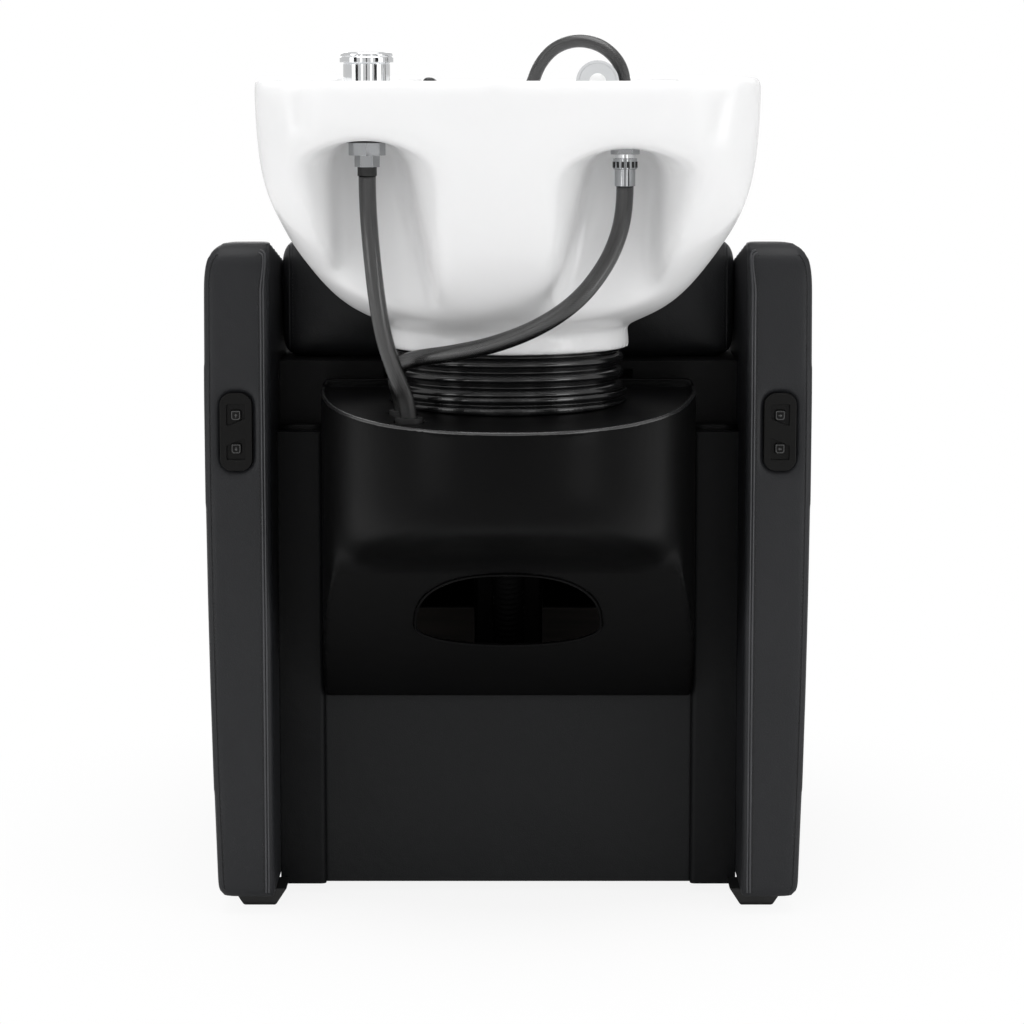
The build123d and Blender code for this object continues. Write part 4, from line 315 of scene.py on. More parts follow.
gel = finish("neck_gel", (0.010, 0.010, 0.011), (0.014, 0.014, 0.015), 0.32, 12.0,
        (("noise", 300.0, 0.04),))
chrome = finish("bright_chrome", (0.78, 0.79, 0.80), (0.84, 0.85, 0.86), 0.07, 30.0,
        (("noise", 60.0, 0.01),), metal=1.0, edge=0.0007)
# The union's chrome is a darker copy of the bright chrome: painted shade that dims its reflections.
union_chrome_painted_shade = finish("union_chrome_painted_shade", (0.40, 0.41, 0.42), (0.48, 0.49, 0.50), 0.10, 30.0,
        (("noise", 60.0, 0.01),), metal=1.0, edge=0.0004)
handset_grey = finish("handset_grey", (0.55, 0.56, 0.57), (0.62, 0.63, 0.64), 0.25, 12.0,
        (("noise", 200.0, 0.02),), edge=0.001)
white_plastic = finish("white_plastic", (0.78, 0.78, 0.78), (0.82, 0.82, 0.82), 0.3, 12.0,
        (("noise", 200.0, 0.02),), edge=0.0006)
grey_print = finish("grey_print", (0.045, 0.045, 0.045), (0.06, 0.06, 0.06), 0.45, 40.0,
        (("noise", 600.0, 0.05),))
foot_plastic = finish("foot_plastic", (0.010, 0.010, 0.010), (0.014, 0.014, 0.014), 0.55, 30.0,
        (("noise", 500.0, 0.1),), edge=0.0015)
# The frame's powder coat is black, darkened further as painted shade for the inside of the cover.
powder_coat_painted_shade = finish("powder_coat_painted_shade", (0.004, 0.004, 0.004), (0.006, 0.006, 0.006), 0.55, 10.0,
        (("noise", 1200.0, 0.15),), edge=0.001, specular=0.12)
motor_coat = finish("motor_coat", (0.02, 0.02, 0.021), (0.028, 0.028, 0.03), 0.42, 10.0,
        (("noise", 900.0, 0.12),), edge=0.002)
brass = finish("plain_brass", (0.62, 0.44, 0.20), (0.70, 0.51, 0.25), 0.28, 20.0,
        (("noise", 300.0, 0.03),), metal=1.0)
stitch_thread = finish("stitch_thread", (0.006, 0.006, 0.006), (0.010, 0.010, 0.010), 0.7, 60.0,
        (("noise", 2500.0, 0.2),))
print("finishes", len(bpy.data.materials))

# %% [markdown]
# ## Stained plywood in painted shade
# Seat, back and leg boards are plywood. The photo hides them, so the black stain is a
# choice that keeps them dark under the cushions; the dark also stands in as painted shade
# for the inside of the cover, seen through the hand hole. The grain is a noise stretched
# along one axis by a Mapping node.

# %% Plywood finish
BOARD_TINT = 6.0
# The boards' near black is their stain and also painted shade for the inside of the cover.
plywood = finish("plywood", (0.010, 0.009, 0.008), (0.020, 0.017, 0.015), 0.6, BOARD_TINT,
        (("noise", 500.0, 0.15),), specular=0.2)
nodes, links = plywood.node_tree.nodes, plywood.node_tree.links
grain_cloud = next(
    n for n in nodes
    if n.type == "TEX_NOISE" and abs(n.inputs["Scale"].default_value - BOARD_TINT) < 0.01
)
board_place = next(n for n in nodes if n.type == "TEX_COORD")
stretch = nodes.new("ShaderNodeMapping")
stretch.inputs["Scale"].default_value = (1.0, 14.0, 14.0)
links.new(board_place.outputs["Object"], stretch.inputs["Vector"])
links.new(stretch.outputs["Vector"], grain_cloud.inputs["Vector"])

# %% [markdown]
# ## Finishes on the rigid pieces
# A rigid CAD piece keeps its mesh and only changes its material.

# %% Dress the rigid pieces
rigid = {
    band_vinyl: ["shroud_band"],
    pillar_vinyl: ["pillar_left", "pillar_right"],
    panel_vinyl: ["lower_rear_panel"],
    pad_satin: ["control_bezel_left", "control_bezel_right", "button_leg_up", "button_leg_down",
                "button_seat_forward", "button_seat_back", "control_box"],
    plain_rubber: ["hose_grommets", "mixer_washer", "hose_collar"],
    # The union pieces take the darker chrome, painted shade in their reflections.
    union_chrome_painted_shade: ["outlet_fitting", "mixer_nut"],
    chrome: ["mixer_base", "mixer_spindle", "mixer_handle", "deck_union",
             "hair_trap", "drain_flange", "tilt_pins", "leg_hinge_rod"],
    handset_grey: ["hand_shower", "shower_holder", "spray_face"],
    white_plastic: ["drain_tail", "waste_outlet"],
    brass: ["water_manifold"],
    # The frame's near-black coat is partly painted shade.
    powder_coat_painted_shade: ["base_plate", "rear_column", "basin_bracket", "basin_cradle", "seat_cross_tubes",
                  "lower_cross_tube", "seat_rails"],
    motor_coat: ["seat_drive", "leg_gearmotor"],
    plywood: ["seat_board", "backrest_board", "legrest_board"],
    foot_plastic: ["feet"],
}


def dress(obj, paint):
    """Gives an object one material."""
    obj.data.materials.clear()
    obj.data.materials.append(paint)


for paint, names in rigid.items():
    for name in names:
        dress(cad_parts[name], paint)
print("dressed", sum(len(names) for names in rigid.values()))


# %% [markdown]
# ## Soft copies of CAD solids
# The basin's glaze, the arms' foam and the cushions all have rounded edges. A voxel remesh
# turns the CAD triangles into even quads, and smoothing then rounds every edge alike. Where
# only some bends are softened, a vertex group limits the smoothing to them.

# %% Remesh and smooth a copy
def show(obj, paint, body, *nodes):
    """Shades a finished piece, dresses it, and lets it ride on a body and replace nodes."""
    for face in obj.data.polygons:
        face.use_smooth = True
    dress(obj, paint)
    if body:
        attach(obj, body)
    if nodes:
        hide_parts(*nodes)
    return obj


def modified_mesh(obj):
    """A new mesh with an object's modifiers, or with a curve's spline, worked out."""
    graph = bpy.context.evaluated_depsgraph_get()
    return bpy.data.meshes.new_from_object(obj.evaluated_get(graph))


def apply_modifiers(obj):
    """Replaces an object's mesh with its modified one."""
    made = modified_mesh(obj)
    obj.modifiers.clear()
    obj.data = made


def weld(mesh):
    """Joins the double corners of a CAD mesh."""
    shape = bmesh.new()
    shape.from_mesh(mesh)
    bmesh.ops.remove_doubles(shape, verts=shape.verts, dist=WELD)
    shape.to_mesh(mesh)
    shape.free()


def evened(obj, voxel, rounds):
    """Gives an object even quads and rounds all its edges."""
    remesh = obj.modifiers.new("remesh", "REMESH")
    remesh.mode = "VOXEL"
    remesh.voxel_size = voxel
    smooth = obj.modifiers.new("smooth", "SMOOTH")
    smooth.factor = SMOOTH_FACTOR
    smooth.iterations = rounds
    apply_modifiers(obj)


def softened(obj, group, weight_at, rounds):
    """Smooths an object where a weight, given for each place, is above nothing."""
    limits = obj.vertex_groups.new(name=group)
    for vertex in obj.data.vertices:
        weight = weight_at(vertex.co)
        if weight > 0.0:
            limits.add([vertex.index], weight, "REPLACE")
    smooth = obj.modifiers.new(group, "SMOOTH")
    smooth.factor = SMOOTH_FACTOR
    smooth.iterations = rounds
    smooth.vertex_group = group
    apply_modifiers(obj)


def faded(value, low, high):
    """A smooth step from 0 at low to 1 at high."""
    share = max(0.0, min(1.0, (value - low) / (high - low)))
    return share * share * (3 - 2 * share)


def soft_copy(node, name, voxel, rounds):
    """An evenly meshed, smoothed copy of a CAD node."""
    copy = linked(name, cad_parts[node].data.copy())
    weld(copy.data)
    evened(copy, voxel, rounds)
    print(name, "faces", len(copy.data.polygons))
    return copy


# %% [markdown]
# ## Glazed basin
# Slip casting leaves no sharp inner corners. The two alcoves behind the bowl are therefore
# smoothed much more than the rest, by a vertex group that fades out round them. Their
# ceilings keep their shape only close to the nuts that sit there.

# %% Smooth the alcoves of the basin
ALCOVE_TOPS = ((TAP_MIDDLE, 0.842), (UNION_MIDDLE, 0.838))
NUT_CLEAR = 0.028


def alcove_weight(spot):
    """How much a spot on the basin is smoothed."""
    x, y, z = spot
    behind = faded(y, 0.52, 0.56) * faded(z, 0.655, 0.69)
    weight = 0.0
    for (middle_x, middle_y), top in ALCOVE_TOPS:
        beside = 1.0 - faded(abs(x - middle_x * 0.9), 0.105, 0.125)
        below = 1.0 - faded(z, top - 0.012, top - 0.002)
        if math.hypot(x - middle_x, y - middle_y) > NUT_CLEAR:
            below = max(below, 0.8)
        over_lip = faded(y, 0.60, 0.63) * (1.0 - faded(z, top + 0.012, top + 0.026))
        weight = max(weight, behind * beside * max(below, over_lip))
    return weight


basin_glazed = soft_copy("basin", "basin_glazed", 0.0041, 4)
softened(basin_glazed, "alcoves", alcove_weight, 130)
show(basin_glazed, glaze, "basin", "basin")

# %% [markdown]
# ## Neck rest
# The neck rest is a soft saddle in the basin's front notch. Its copy of the CAD solid only
# gets rounder edges, as gel has them.

# %% Round the neck rest
neck_saddle = soft_copy("neck_rest", "neck_saddle", 0.0026, 8)
show(neck_saddle, gel, "basin", "neck_rest")

# %% [markdown]
# ## Cushions
# Foam under vinyl swells between its seams. A short cloth simulation with inner pressure
# does that: gravity is off, a few frames are enough, and a cap keeps each point near the
# CAD shape so the cushion stays in its place.


# %% Puff a cushion with cloth pressure
CLOTH_FRAMES = 20
CUSHION_PRESSURE = 3.5


def puffed(obj, cap):
    """Swells a closed mesh by cloth pressure, capped, and applies the result."""
    before = [v.co.copy() for v in obj.data.vertices]
    cloth = obj.modifiers.new("cloth", "CLOTH")
    cloth.settings.quality = 4
    cloth.settings.tension_stiffness = 40
    cloth.settings.compression_stiffness = 40
    cloth.settings.bending_stiffness = 8
    cloth.settings.use_pressure = True
    cloth.settings.uniform_pressure_force = CUSHION_PRESSURE
    cloth.settings.effector_weights.gravity = 0
    cloth.collision_settings.use_collision = False
    for number in range(1, CLOTH_FRAMES + 1):
        scene.frame_set(number)
    apply_modifiers(obj)
    scene.frame_set(1)
    moved = 0.0
    for vertex, start in zip(obj.data.vertices, before):
        step = vertex.co - start
        if step.length > cap:
            vertex.co = start + step.normalized() * cap
        moved = max(moved, (vertex.co - start).length)
    print(obj.name, "moved", round(moved * 1000, 1), "mm")


def subdivided(obj):
    """Adds and applies one subdivision level."""
    fine = obj.modifiers.new("fine", "SUBSURF")
    fine.levels = fine.render_levels = 1
    apply_modifiers(obj)


cushions = (
    ("seat_cushion", "seat_pad", "seat", 0.010),
    ("backrest_cushion", "back_pad", "base", 0.010),
    ("legrest_cushion", "leg_pad", "legrest", 0.009),
    ("upper_back_pad", "upper_back", "base", 0.004),
)
pads = {}
for node, name, body, cap in cushions:
    pad = soft_copy(node, name, 0.0085, 8)
    puffed(pad, cap)
    subdivided(pad)
    show(pad, seat_vinyl, body, node)
    pads[name] = pad

# %% [markdown]
# ## Arms
# The arms are tall foam panels. The left one is made from its CAD solid and the right one
# from its own, so both keep their pockets for the control pads.

# %% Left and right arm
for side in ("left", "right"):
    arm = soft_copy(f"arm_{side}", f"arm_pad_{side}", 0.0055, 4)
    show(arm, arm_vinyl, "base", f"arm_{side}")
    pads[arm.name] = arm


# %% [markdown]
# ## Seams
# A seam is a line that lies on the cover. Rays from the seam's plane find the surface, and
# two node groups then turn the line into piping or into a row of single stitches.

# %% Node groups for piping and stitches
def node_group(name, *sockets):
    """A geometry group with named inputs that realizes its instances and sets its finish."""
    group = bpy.data.node_groups.new(name, "GeometryNodeTree")
    for label, kind in sockets:
        group.interface.new_socket(name=label, in_out="INPUT", socket_type="NodeSocket" + kind)
    group.interface.new_socket(name="Mesh", in_out="OUTPUT", socket_type="NodeSocketGeometry")
    start, end = group.nodes.new("NodeGroupInput"), group.nodes.new("NodeGroupOutput")
    real = group.nodes.new("GeometryNodeRealizeInstances")
    coat = group.nodes.new("GeometryNodeSetMaterial")
    group.links.new(real.outputs["Geometry"], coat.inputs["Geometry"])
    group.links.new(start.outputs["Finish"], coat.inputs["Material"])
    group.links.new(coat.outputs["Geometry"], end.inputs["Mesh"])
    return group, start, real


def seam_group(name):
    """A node group that spaces points evenly along a line, with inputs for a seam."""
    group, start, real = node_group(
        name, ("Line", "Geometry"), ("Radius", "Float"), ("Pitch", "Float"), ("Finish", "Material")
    )
    curve = group.nodes.new("GeometryNodeMeshToCurve")
    spaced = group.nodes.new("GeometryNodeResampleCurve")
    spaced.mode = "LENGTH"
    group.links.new(start.outputs["Line"], curve.inputs["Mesh"])
    group.links.new(curve.outputs["Curve"], spaced.inputs["Curve"])
    group.links.new(start.outputs["Pitch"], spaced.inputs["Length"])
    return group, start, spaced, real


def run_group(obj, group, values):
    """Runs a node group on an object, with its inputs set by identifier, and applies it."""
    modifier = obj.modifiers.new(group.name, "NODES")
    modifier.node_group = group
    for item in group.interface.items_tree:
        if item.in_out == "INPUT" and item.name in values:
            modifier[item.identifier] = values[item.name]
    apply_modifiers(obj)


piping_group, start, spaced, real = seam_group("piping")
add, link = piping_group.nodes.new, piping_group.links.new
round_cord = add("GeometryNodeCurvePrimitiveCircle")
round_cord.inputs["Resolution"].default_value = 8
swept = add("GeometryNodeCurveToMesh")
swept.inputs["Fill Caps"].default_value = True
link(start.outputs["Radius"], round_cord.inputs["Radius"])
link(spaced.outputs["Curve"], swept.inputs["Curve"])
link(round_cord.outputs["Curve"], swept.inputs["Profile Curve"])
link(swept.outputs["Mesh"], real.inputs["Geometry"])

# %% [markdown]
# A stitch is a bead drawn out along the seam, to a third of the pitch each way, so a gap
# stays between it and the next one.

# %% Stitches
HALF_STITCH = 0.34
stitch_group, start, spaced, real = seam_group("stitches")
add, link = stitch_group.nodes.new, stitch_group.links.new
bead = add("GeometryNodeMeshUVSphere")
bead.inputs["Segments"].default_value = 6
bead.inputs["Rings"].default_value = 5
bead.inputs["Radius"].default_value = 1.0
along = add("GeometryNodeInputTangent")
turned = add("FunctionNodeAlignRotationToVector")
turned.axis = "Z"
placed = add("GeometryNodeInstanceOnPoints")
size = add("ShaderNodeCombineXYZ")
half_pitch = add("ShaderNodeMath")
half_pitch.operation = "MULTIPLY"
half_pitch.inputs[1].default_value = HALF_STITCH
link(start.outputs["Pitch"], half_pitch.inputs[0])
link(start.outputs["Radius"], size.inputs["X"])
link(start.outputs["Radius"], size.inputs["Y"])
link(half_pitch.outputs[0], size.inputs["Z"])
link(along.outputs["Tangent"], turned.inputs["Vector"])
link(spaced.outputs["Curve"], placed.inputs["Points"])
link(bead.outputs["Mesh"], placed.inputs["Instance"])
link(turned.outputs["Rotation"], placed.inputs["Rotation"])
link(size.outputs["Vector"], placed.inputs["Scale"])
link(placed.outputs["Instances"], real.inputs["Geometry"])


# %% [markdown]
# Each seam starts as a plain line beside the piece. Rays carry its points onto the mesh.

# %% Lines on a surface
def surface_of(obj):
    """A search tree of an object's faces."""
    shape = bmesh.new()
    shape.from_mesh(obj.data)
    tree = BVHTree.FromBMesh(shape)
    shape.free()
    return tree


RAY_START = 0.3


def laid(tree, points, toward):
    """Points moved along a direction onto the surface."""
    toward = Vector(toward)
    found = []
    for point in points:
        hit = tree.ray_cast(Vector(point) - toward * RAY_START, toward)[0]
        if hit is not None:
            found.append(hit)
    return found


def sewn(name, group, lines, radius, pitch, paint):
    """Runs a seam group over one or more lines of points on the base."""
    corners, pairs = [], []
    for line in lines:
        first = len(corners)
        corners += [tuple(p) for p in line]
        pairs += [(first + i, first + i + 1) for i in range(len(line) - 1)]
    mesh = bpy.data.meshes.new(name)
    mesh.from_pydata(corners, pairs, [])
    obj = linked(name, mesh)
    run_group(obj, group, {"Radius": radius, "Pitch": pitch, "Finish": paint})
    show(obj, paint, "base")
    print(name, "faces", len(obj.data.polygons))


# %% [markdown]
# The rear panel of each arm is sewn in: a row of stitches near the outer edge, another near
# the inner edge, and beside it two thin welts that curve inwards at the top.

# %% Seams of the arms
SHOULDER_HUB = (0.297, 0.372, 0.70)
REAR_Y = 0.39
STITCH = (0.0005, 0.0042)
CORD_PITCH = 0.004


def panel_line(tree, side, inset, low, inner):
    """A line on an arm's rear face, a fixed way inside one of its edges, up to the shoulder."""
    line = []
    hub = Vector((side * SHOULDER_HUB[0], *SHOULDER_HUB[1:]))
    inward = side if inner else -side
    begin_x = side * (0.2 if inner else 0.4)
    count = 90
    for i in range(count):
        z = low + (hub.z - low) * i / (count - 1)
        edge = tree.ray_cast(Vector((begin_x, hub.y, z)), Vector((inward, 0, 0)))[0]
        if edge is not None:
            line.append((edge.x + inward * inset, REAR_Y, z))
    for i in range(1, 26):
        angle = math.radians(62 * i / 25)
        out = Vector((math.cos(angle) * -inward, 0, math.sin(angle)))
        edge = tree.ray_cast(hub, out)[0]
        if edge is not None:
            spot = edge - out * inset
            line.append((spot.x, REAR_Y, spot.z))
    return laid(tree, line, (0, -1, 0))


for side, name in ((1, "left"), (-1, "right")):
    tree = surface_of(pads[f"arm_pad_{name}"])
    stitch_lines = [
        panel_line(tree, side, 0.0075, 0.030, False), panel_line(tree, side, 0.0125, 0.030, True)
    ]
    welt_lines = [panel_line(tree, side, inset, 0.026, True) for inset in (0.0096, 0.0066)]
    fold_line = panel_line(tree, side, 0.0062, 0.030, False)
    sewn(f"arm_stitches_{name}", stitch_group, stitch_lines, *STITCH, stitch_thread)
    sewn(f"arm_welts_{name}", piping_group, welt_lines, 0.0013, CORD_PITCH, piping_vinyl)
    sewn(f"arm_edge_fold_{name}", piping_group, [fold_line], 0.0008, CORD_PITCH, arm_vinyl)

# %% [markdown]
# The upper back has a vertical seam near each end, with stitches on its inner side.

# %% Seams of the upper back
def upright_line(tree, x):
    """An upright line on the rear of the upper back."""
    return laid(tree, [(x, 0.25, 0.622 + 0.12 * i / 40) for i in range(41)], (0, -1, 0))


tree = surface_of(pads["upper_back"])
back_folds = [upright_line(tree, x) for x in (0.2525, -0.2525)]
back_stitches = [upright_line(tree, x) for x in (0.2485, -0.2485)]
sewn("back_folds", piping_group, back_folds, 0.0012, CORD_PITCH, seat_vinyl)
sewn("back_stitches", stitch_group, back_stitches, *STITCH, stitch_thread)


# %% [markdown]
# ## Bellows
# The sleeve between the shelf and the basin is moulded rubber with round ribs. Its outline
# is turned about the drain's axis. The grooved collar under it is a copy of its CAD solid
# with rounder edges.

# %% Turned pieces
def turned_piece(name, outline, middle, sides):
    """A solid turned about an upright axis from a closed outline of radius and height."""
    shape = bmesh.new()
    rings = []
    for radius, z in outline:
        rings.append([
            shape.verts.new((middle[0] + radius * math.cos(a), middle[1] + radius * math.sin(a), z))
            for a in (2 * math.pi * k / sides for k in range(sides))
        ])
    for low, high in zip(rings, rings[1:] + rings[:1]):
        for k in range(sides):
            n = (k + 1) % sides
            shape.faces.new((low[k], low[n], high[n], high[k]))
    obj = from_shape(name, shape)
    print(name, "faces", len(obj.data.polygons))
    return obj


def rib_outline(crest, trough, low, pitch, ribs, wall):
    """The closed outline of a ribbed sleeve: round crests outside, an even wall."""
    outside = []
    steps = 14
    for i in range(ribs * steps + 1):
        swell = abs(math.cos(math.pi * (i / steps - 0.30))) ** 0.8
        outside.append((trough + (crest - trough) * swell, low + pitch * i / steps))
    return outside + [(radius - wall, z) for radius, z in reversed(outside)]


sleeve_outline = rib_outline(0.127, 0.119, 0.594, 0.016, 3, 0.003)
sleeve = turned_piece("bellows_sleeve", sleeve_outline, DRAIN_MIDDLE, 96)
show(sleeve, bellows_rubber, None, "bellows")
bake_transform(sleeve)
collar = soft_copy("bellows_ring", "bellows_collar", 0.0013, 12)
show(collar, bellows_rubber, "base", "bellows_ring")


# %% [markdown]
# ## Hoses
# A rubber hose with a woven cover is one smooth line. The route's points are the same as in
# the CAD source, as control points of a NURBS curve. The tube is then swept along that line
# with its own UV map, so the braid follows the hose.

# %% Routes and tubes
supply_route = [(145, 590, 834), (145, 590, 812), (142.5, 590, 771), (137.5, 588, 718),
    (130, 580, 666), (116, 565, 622), (104, 552, 592), (104, 552, 560)]
mixed_route = [(-121, 590, 823.5), (-121, 590, 803), (-115, 594, 772), (-100, 605, 740),
    (-72, 620, 706), (-32, 608, 678), (16, 586, 658), (62, 563, 647), (94, 545, 642),
    (114, 526, 634), (121, 513, 618), (112, 500, 590), (112, 500, 560)]
shower_route = [(-121, 590, 912), (-121, 590, 926), (-116, 588, 949), (-98.3, 582, 967),
    (-74, 574, 973.6), (-49.7, 565, 967), (-33, 556, 949), (-25, 545, 927), (-17, 527, 907),
    (-6, 510, 882), (5, 489, 856), (12, 463, 836), (11, 433, 826), (-1, 404, 825),
    (-26, 385, 834), (-55, 381, 851), (-78, 394, 871), (-90, 415, 890), (-92, 442, 903),
    (-92, 471.9, 907.98)]
waste_route = [(0, 390, 590), (0, 390, 535), (0, 378, 470), (0, 345, 405), (0, 293, 348),
    (0, 250, 282), (0, 232, 200), (0, 232, 110)]


def smooth_line(route):
    """Points along the NURBS spline whose control points are the route, in metres."""
    data = bpy.data.curves.new("route", "CURVE")
    data.dimensions = "3D"
    spline = data.splines.new("NURBS")
    spline.points.add(len(route) - 1)
    for point, (x, y, z) in zip(spline.points, route):
        point.co = (x / 1000, y / 1000, z / 1000, 1.0)
    spline.order_u = 3
    spline.use_endpoint_u = True
    spline.resolution_u = 10
    holder = linked("route", data)
    line = modified_mesh(holder)
    points = [v.co.copy() for v in line.vertices]
    bpy.data.objects.remove(holder)
    return points


def tube(name, points, radius, sides=24, ribs=None):
    """A closed tube along points, with a UV map: U round it and V along it, in metres."""
    shape = bmesh.new()
    uv = shape.loops.layers.uv.new("UVMap")
    forward = (points[1] - points[0]).normalized()
    side = forward.orthogonal().normalized()
    rings, lengths, run = [], [], 0.0
    for i, point in enumerate(points):
        ahead = points[min(i + 1, len(points) - 1)] - points[max(i - 1, 0)]
        ahead.normalize()
        side = (side - ahead * side.dot(ahead)).normalized()
        up = ahead.cross(side)
        if i:
            run += (point - points[i - 1]).length
        grow = ribs(run) if ribs else 0.0
        rings.append([
            shape.verts.new(point + (side * math.cos(a) + up * math.sin(a)) * (radius + grow))
            for a in (2 * math.pi * k / sides for k in range(sides))
        ])
        lengths.append(run)
    for i in range(len(rings) - 1):
        for k in range(sides):
            n = (k + 1) % sides
            face = shape.faces.new((rings[i][k], rings[i][n], rings[i + 1][n], rings[i + 1][k]))
            spots = ((k, i), (k + 1, i), (k + 1, i + 1), (k, i + 1))
            for loop, (u, v) in zip(face.loops, spots):
                loop[uv].uv = (u / sides * 2 * math.pi * radius, lengths[v])
    shape.faces.new(list(reversed(rings[0])))
    shape.faces.new(rings[-1])
    print(name, "length", round(run, 4))
    return from_shape(name, shape), run


# %% [markdown]
# The braid is two sets of diagonal waves on the hose's UV map, crossed, so small diamonds
# run along it.

# %% Braided rubber finish
def braid_finish(name, dark, light, pitch):
    """Black braid: crossed diagonal waves on the piece's own UV map."""
    paint = finish(name, dark, light, 0.24, 30.0, coat=0.35, specular=0.8)
    nodes, links = paint.node_tree.nodes, paint.node_tree.links
    shader = nodes["Principled BSDF"]
    place = next(n for n in nodes if n.type == "TEX_COORD")
    waves = []
    for turn in (1, -1):
        lean = nodes.new("ShaderNodeMapping")
        lean.inputs["Rotation"].default_value = (0.0, 0.0, turn * math.radians(38))
        wave = nodes.new("ShaderNodeTexWave")
        wave.inputs["Scale"].default_value = 0.31 / pitch
        links.new(place.outputs["UV"], lean.inputs["Vector"])
        links.new(lean.outputs["Vector"], wave.inputs["Vector"])
        waves.append(wave)
    cross = nodes.new("ShaderNodeMath")
    cross.operation = "MAXIMUM"
    links.new(waves[0].outputs["Fac"], cross.inputs[0])
    links.new(waves[1].outputs["Fac"], cross.inputs[1])
    relief = nodes.new("ShaderNodeBump")
    relief.inputs["Strength"].default_value = 0.5
    relief.inputs["Distance"].default_value = 0.0004
    links.new(cross.outputs[0], relief.inputs["Height"])
    links.new(relief.outputs["Normal"], shader.inputs["Normal"])
    return paint


hose_braid = braid_finish("hose_braid", (0.003, 0.003, 0.003), (0.007, 0.007, 0.007), 0.0017)
# The waste hose's near-black rubber is partly painted shade for the dark inside of the cover.
waste_rubber_painted_shade = finish("waste_rubber_painted_shade", (0.0012, 0.0012, 0.0012), (0.0018, 0.0018, 0.0018), 0.7,
        20.0, (("noise", 300.0, 0.1),), specular=0.05)

# %% [markdown]
# Each hose is a cord between the two bodies it joins. The waste hose hangs
# hidden inside the cover, and its ribs are those of common waste hoses.

# %% The four hoses
WASTE_RIB_PITCH, WASTE_RIB_DEPTH = 0.009, 0.0012


def waste_ribs(run):
    """How far the waste hose's wall lies off its crest, at a length along it."""
    return WASTE_RIB_DEPTH * (math.cos(run * 2 * math.pi / WASTE_RIB_PITCH) - 1)


hoses = (
    ("supply_tube", supply_route, 0.018, "supply_hose", hose_braid, "base", "basin",
     (0, 0, 0.585), (0, 0, 0.80), "medium"),
    ("mixed_tube", mixed_route, 0.018, "mixed_hose", hose_braid, "base", "basin",
     (0, 0, 0.585), (0, 0, 0.80), "medium"),
    ("shower_tube", shower_route, 0.0135, "shower_hose", hose_braid, "basin", "hand_shower",
     (0, 0.469, 0), (-0.044, 0.425, 0), "limp"),
    ("waste_tube", waste_route, 0.038, "waste_hose", waste_rubber_painted_shade, "base", "basin",
     (0, 0, 0.42), (0, 0, 0.585), "stiff"),
)
for name, route, diameter, node, paint, body_a, body_b, start, end, stiffness in hoses:
    points = smooth_line(route)
    ribs = waste_ribs if node == "waste_hose" else None
    if ribs:
        fine = [points[0]]
        for a, b in zip(points, points[1:]):
            fine += [a.lerp(b, k / 6) for k in range(1, 7)]
        points = fine
    made, run = tube(name, points, diameter / 2, ribs=ribs)
    show(made, paint, None, node)
    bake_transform(made)

# %% [markdown]
# ## Key legends
# Each key has a grey printed frame with a small sign in it: an arrow that shows which way
# the seat or the leg rest moves. The print is a thin film on the key's face.

# %% Print on the keys
def film(name, loops, y, thickness, paint, body):
    """Flat shapes in the X-Z plane, each a loop of points, given a small thickness."""
    shape = bmesh.new()
    for loop in loops:
        front = [shape.verts.new((x, y + thickness, z)) for x, z in loop]
        back = [shape.verts.new((x, y, z)) for x, z in loop]
        shape.faces.new(front)
        shape.faces.new(list(reversed(back)))
        for i in range(len(loop)):
            n = (i + 1) % len(loop)
            shape.faces.new((front[n], front[i], back[i], back[n]))
    obj = from_shape(name, shape)
    dress(obj, paint)
    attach(obj, body)


def frame_bars(x, z, half, width):
    """Bars of a square frame with cut lower corners."""
    cut = half * 0.35
    corners = [(-half, half), (half, half), (half, -half + cut), (half - cut, -half),
               (-half + cut, -half), (-half, -half + cut)]
    inner = 1.0 - width / half
    return [
        [(x + ax, z + az), (x + bx, z + bz),
         (x + bx * inner, z + bz * inner), (x + ax * inner, z + az * inner)]
        for (ax, az), (bx, bz) in zip(corners, corners[1:] + corners[:1])
    ]


def arrow(x, z, size, turn):
    """A small arrow head on a short bar, turned about its middle."""
    cos, sin = math.cos(turn), math.sin(turn)
    head = [(0.0, size), (-size * 0.8, 0.0), (size * 0.8, 0.0)]
    bar = [(-size * 0.25, 0.0), (-size * 0.25, -size * 0.9),
           (size * 0.25, -size * 0.9), (size * 0.25, 0.0)]
    return [
        [(x + px * cos - pz * sin, z + px * sin + pz * cos) for px, pz in part]
        for part in (head, bar)
    ]


def world_corners(node):
    """The eight corners of a CAD node's box, in the shared frame."""
    return [node.matrix_world @ Vector(c) for c in node.bound_box]


signs = {"button_leg_up": 0.0, "button_leg_down": math.pi,
         "button_seat_forward": math.pi / 2, "button_seat_back": -math.pi / 2}
for key, turn in signs.items():
    corners = world_corners(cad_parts[key])
    x = (min(c.x for c in corners) + max(c.x for c in corners)) / 2
    z = (min(c.z for c in corners) + max(c.z for c in corners)) / 2
    y = max(c.y for c in corners)
    loops = frame_bars(x, z, 0.0047, 0.0008) + arrow(x, z - 0.0002, 0.0022, turn)
    film(f"{key}_print", loops, y - 0.0001, 0.0002, grey_print, key)

# %% [markdown]
# ## Rear cover
# The cover looks vacuum formed: its front bends softly into the sloping underside. The
# hand hole is cut again with a clean outline: a plate with the hole replaces a window in
# the CAD shell. A vertex group then keeps the strong smoothing at the bends.

# %% Cut the hand hole anew
SLOPE_START = (0.2949, 0.233)
SLOPE_RUN = 1.0725
SLOPE_OUT = (0.682, -0.7314)


def on_slope(x, z, out=0.0):
    """A point on the cover's sloping face, moved outward."""
    y = SLOPE_START[0] + SLOPE_RUN * (z - SLOPE_START[1])
    return Vector((x, y + SLOPE_OUT[0] * out, z + SLOPE_OUT[1] * out))


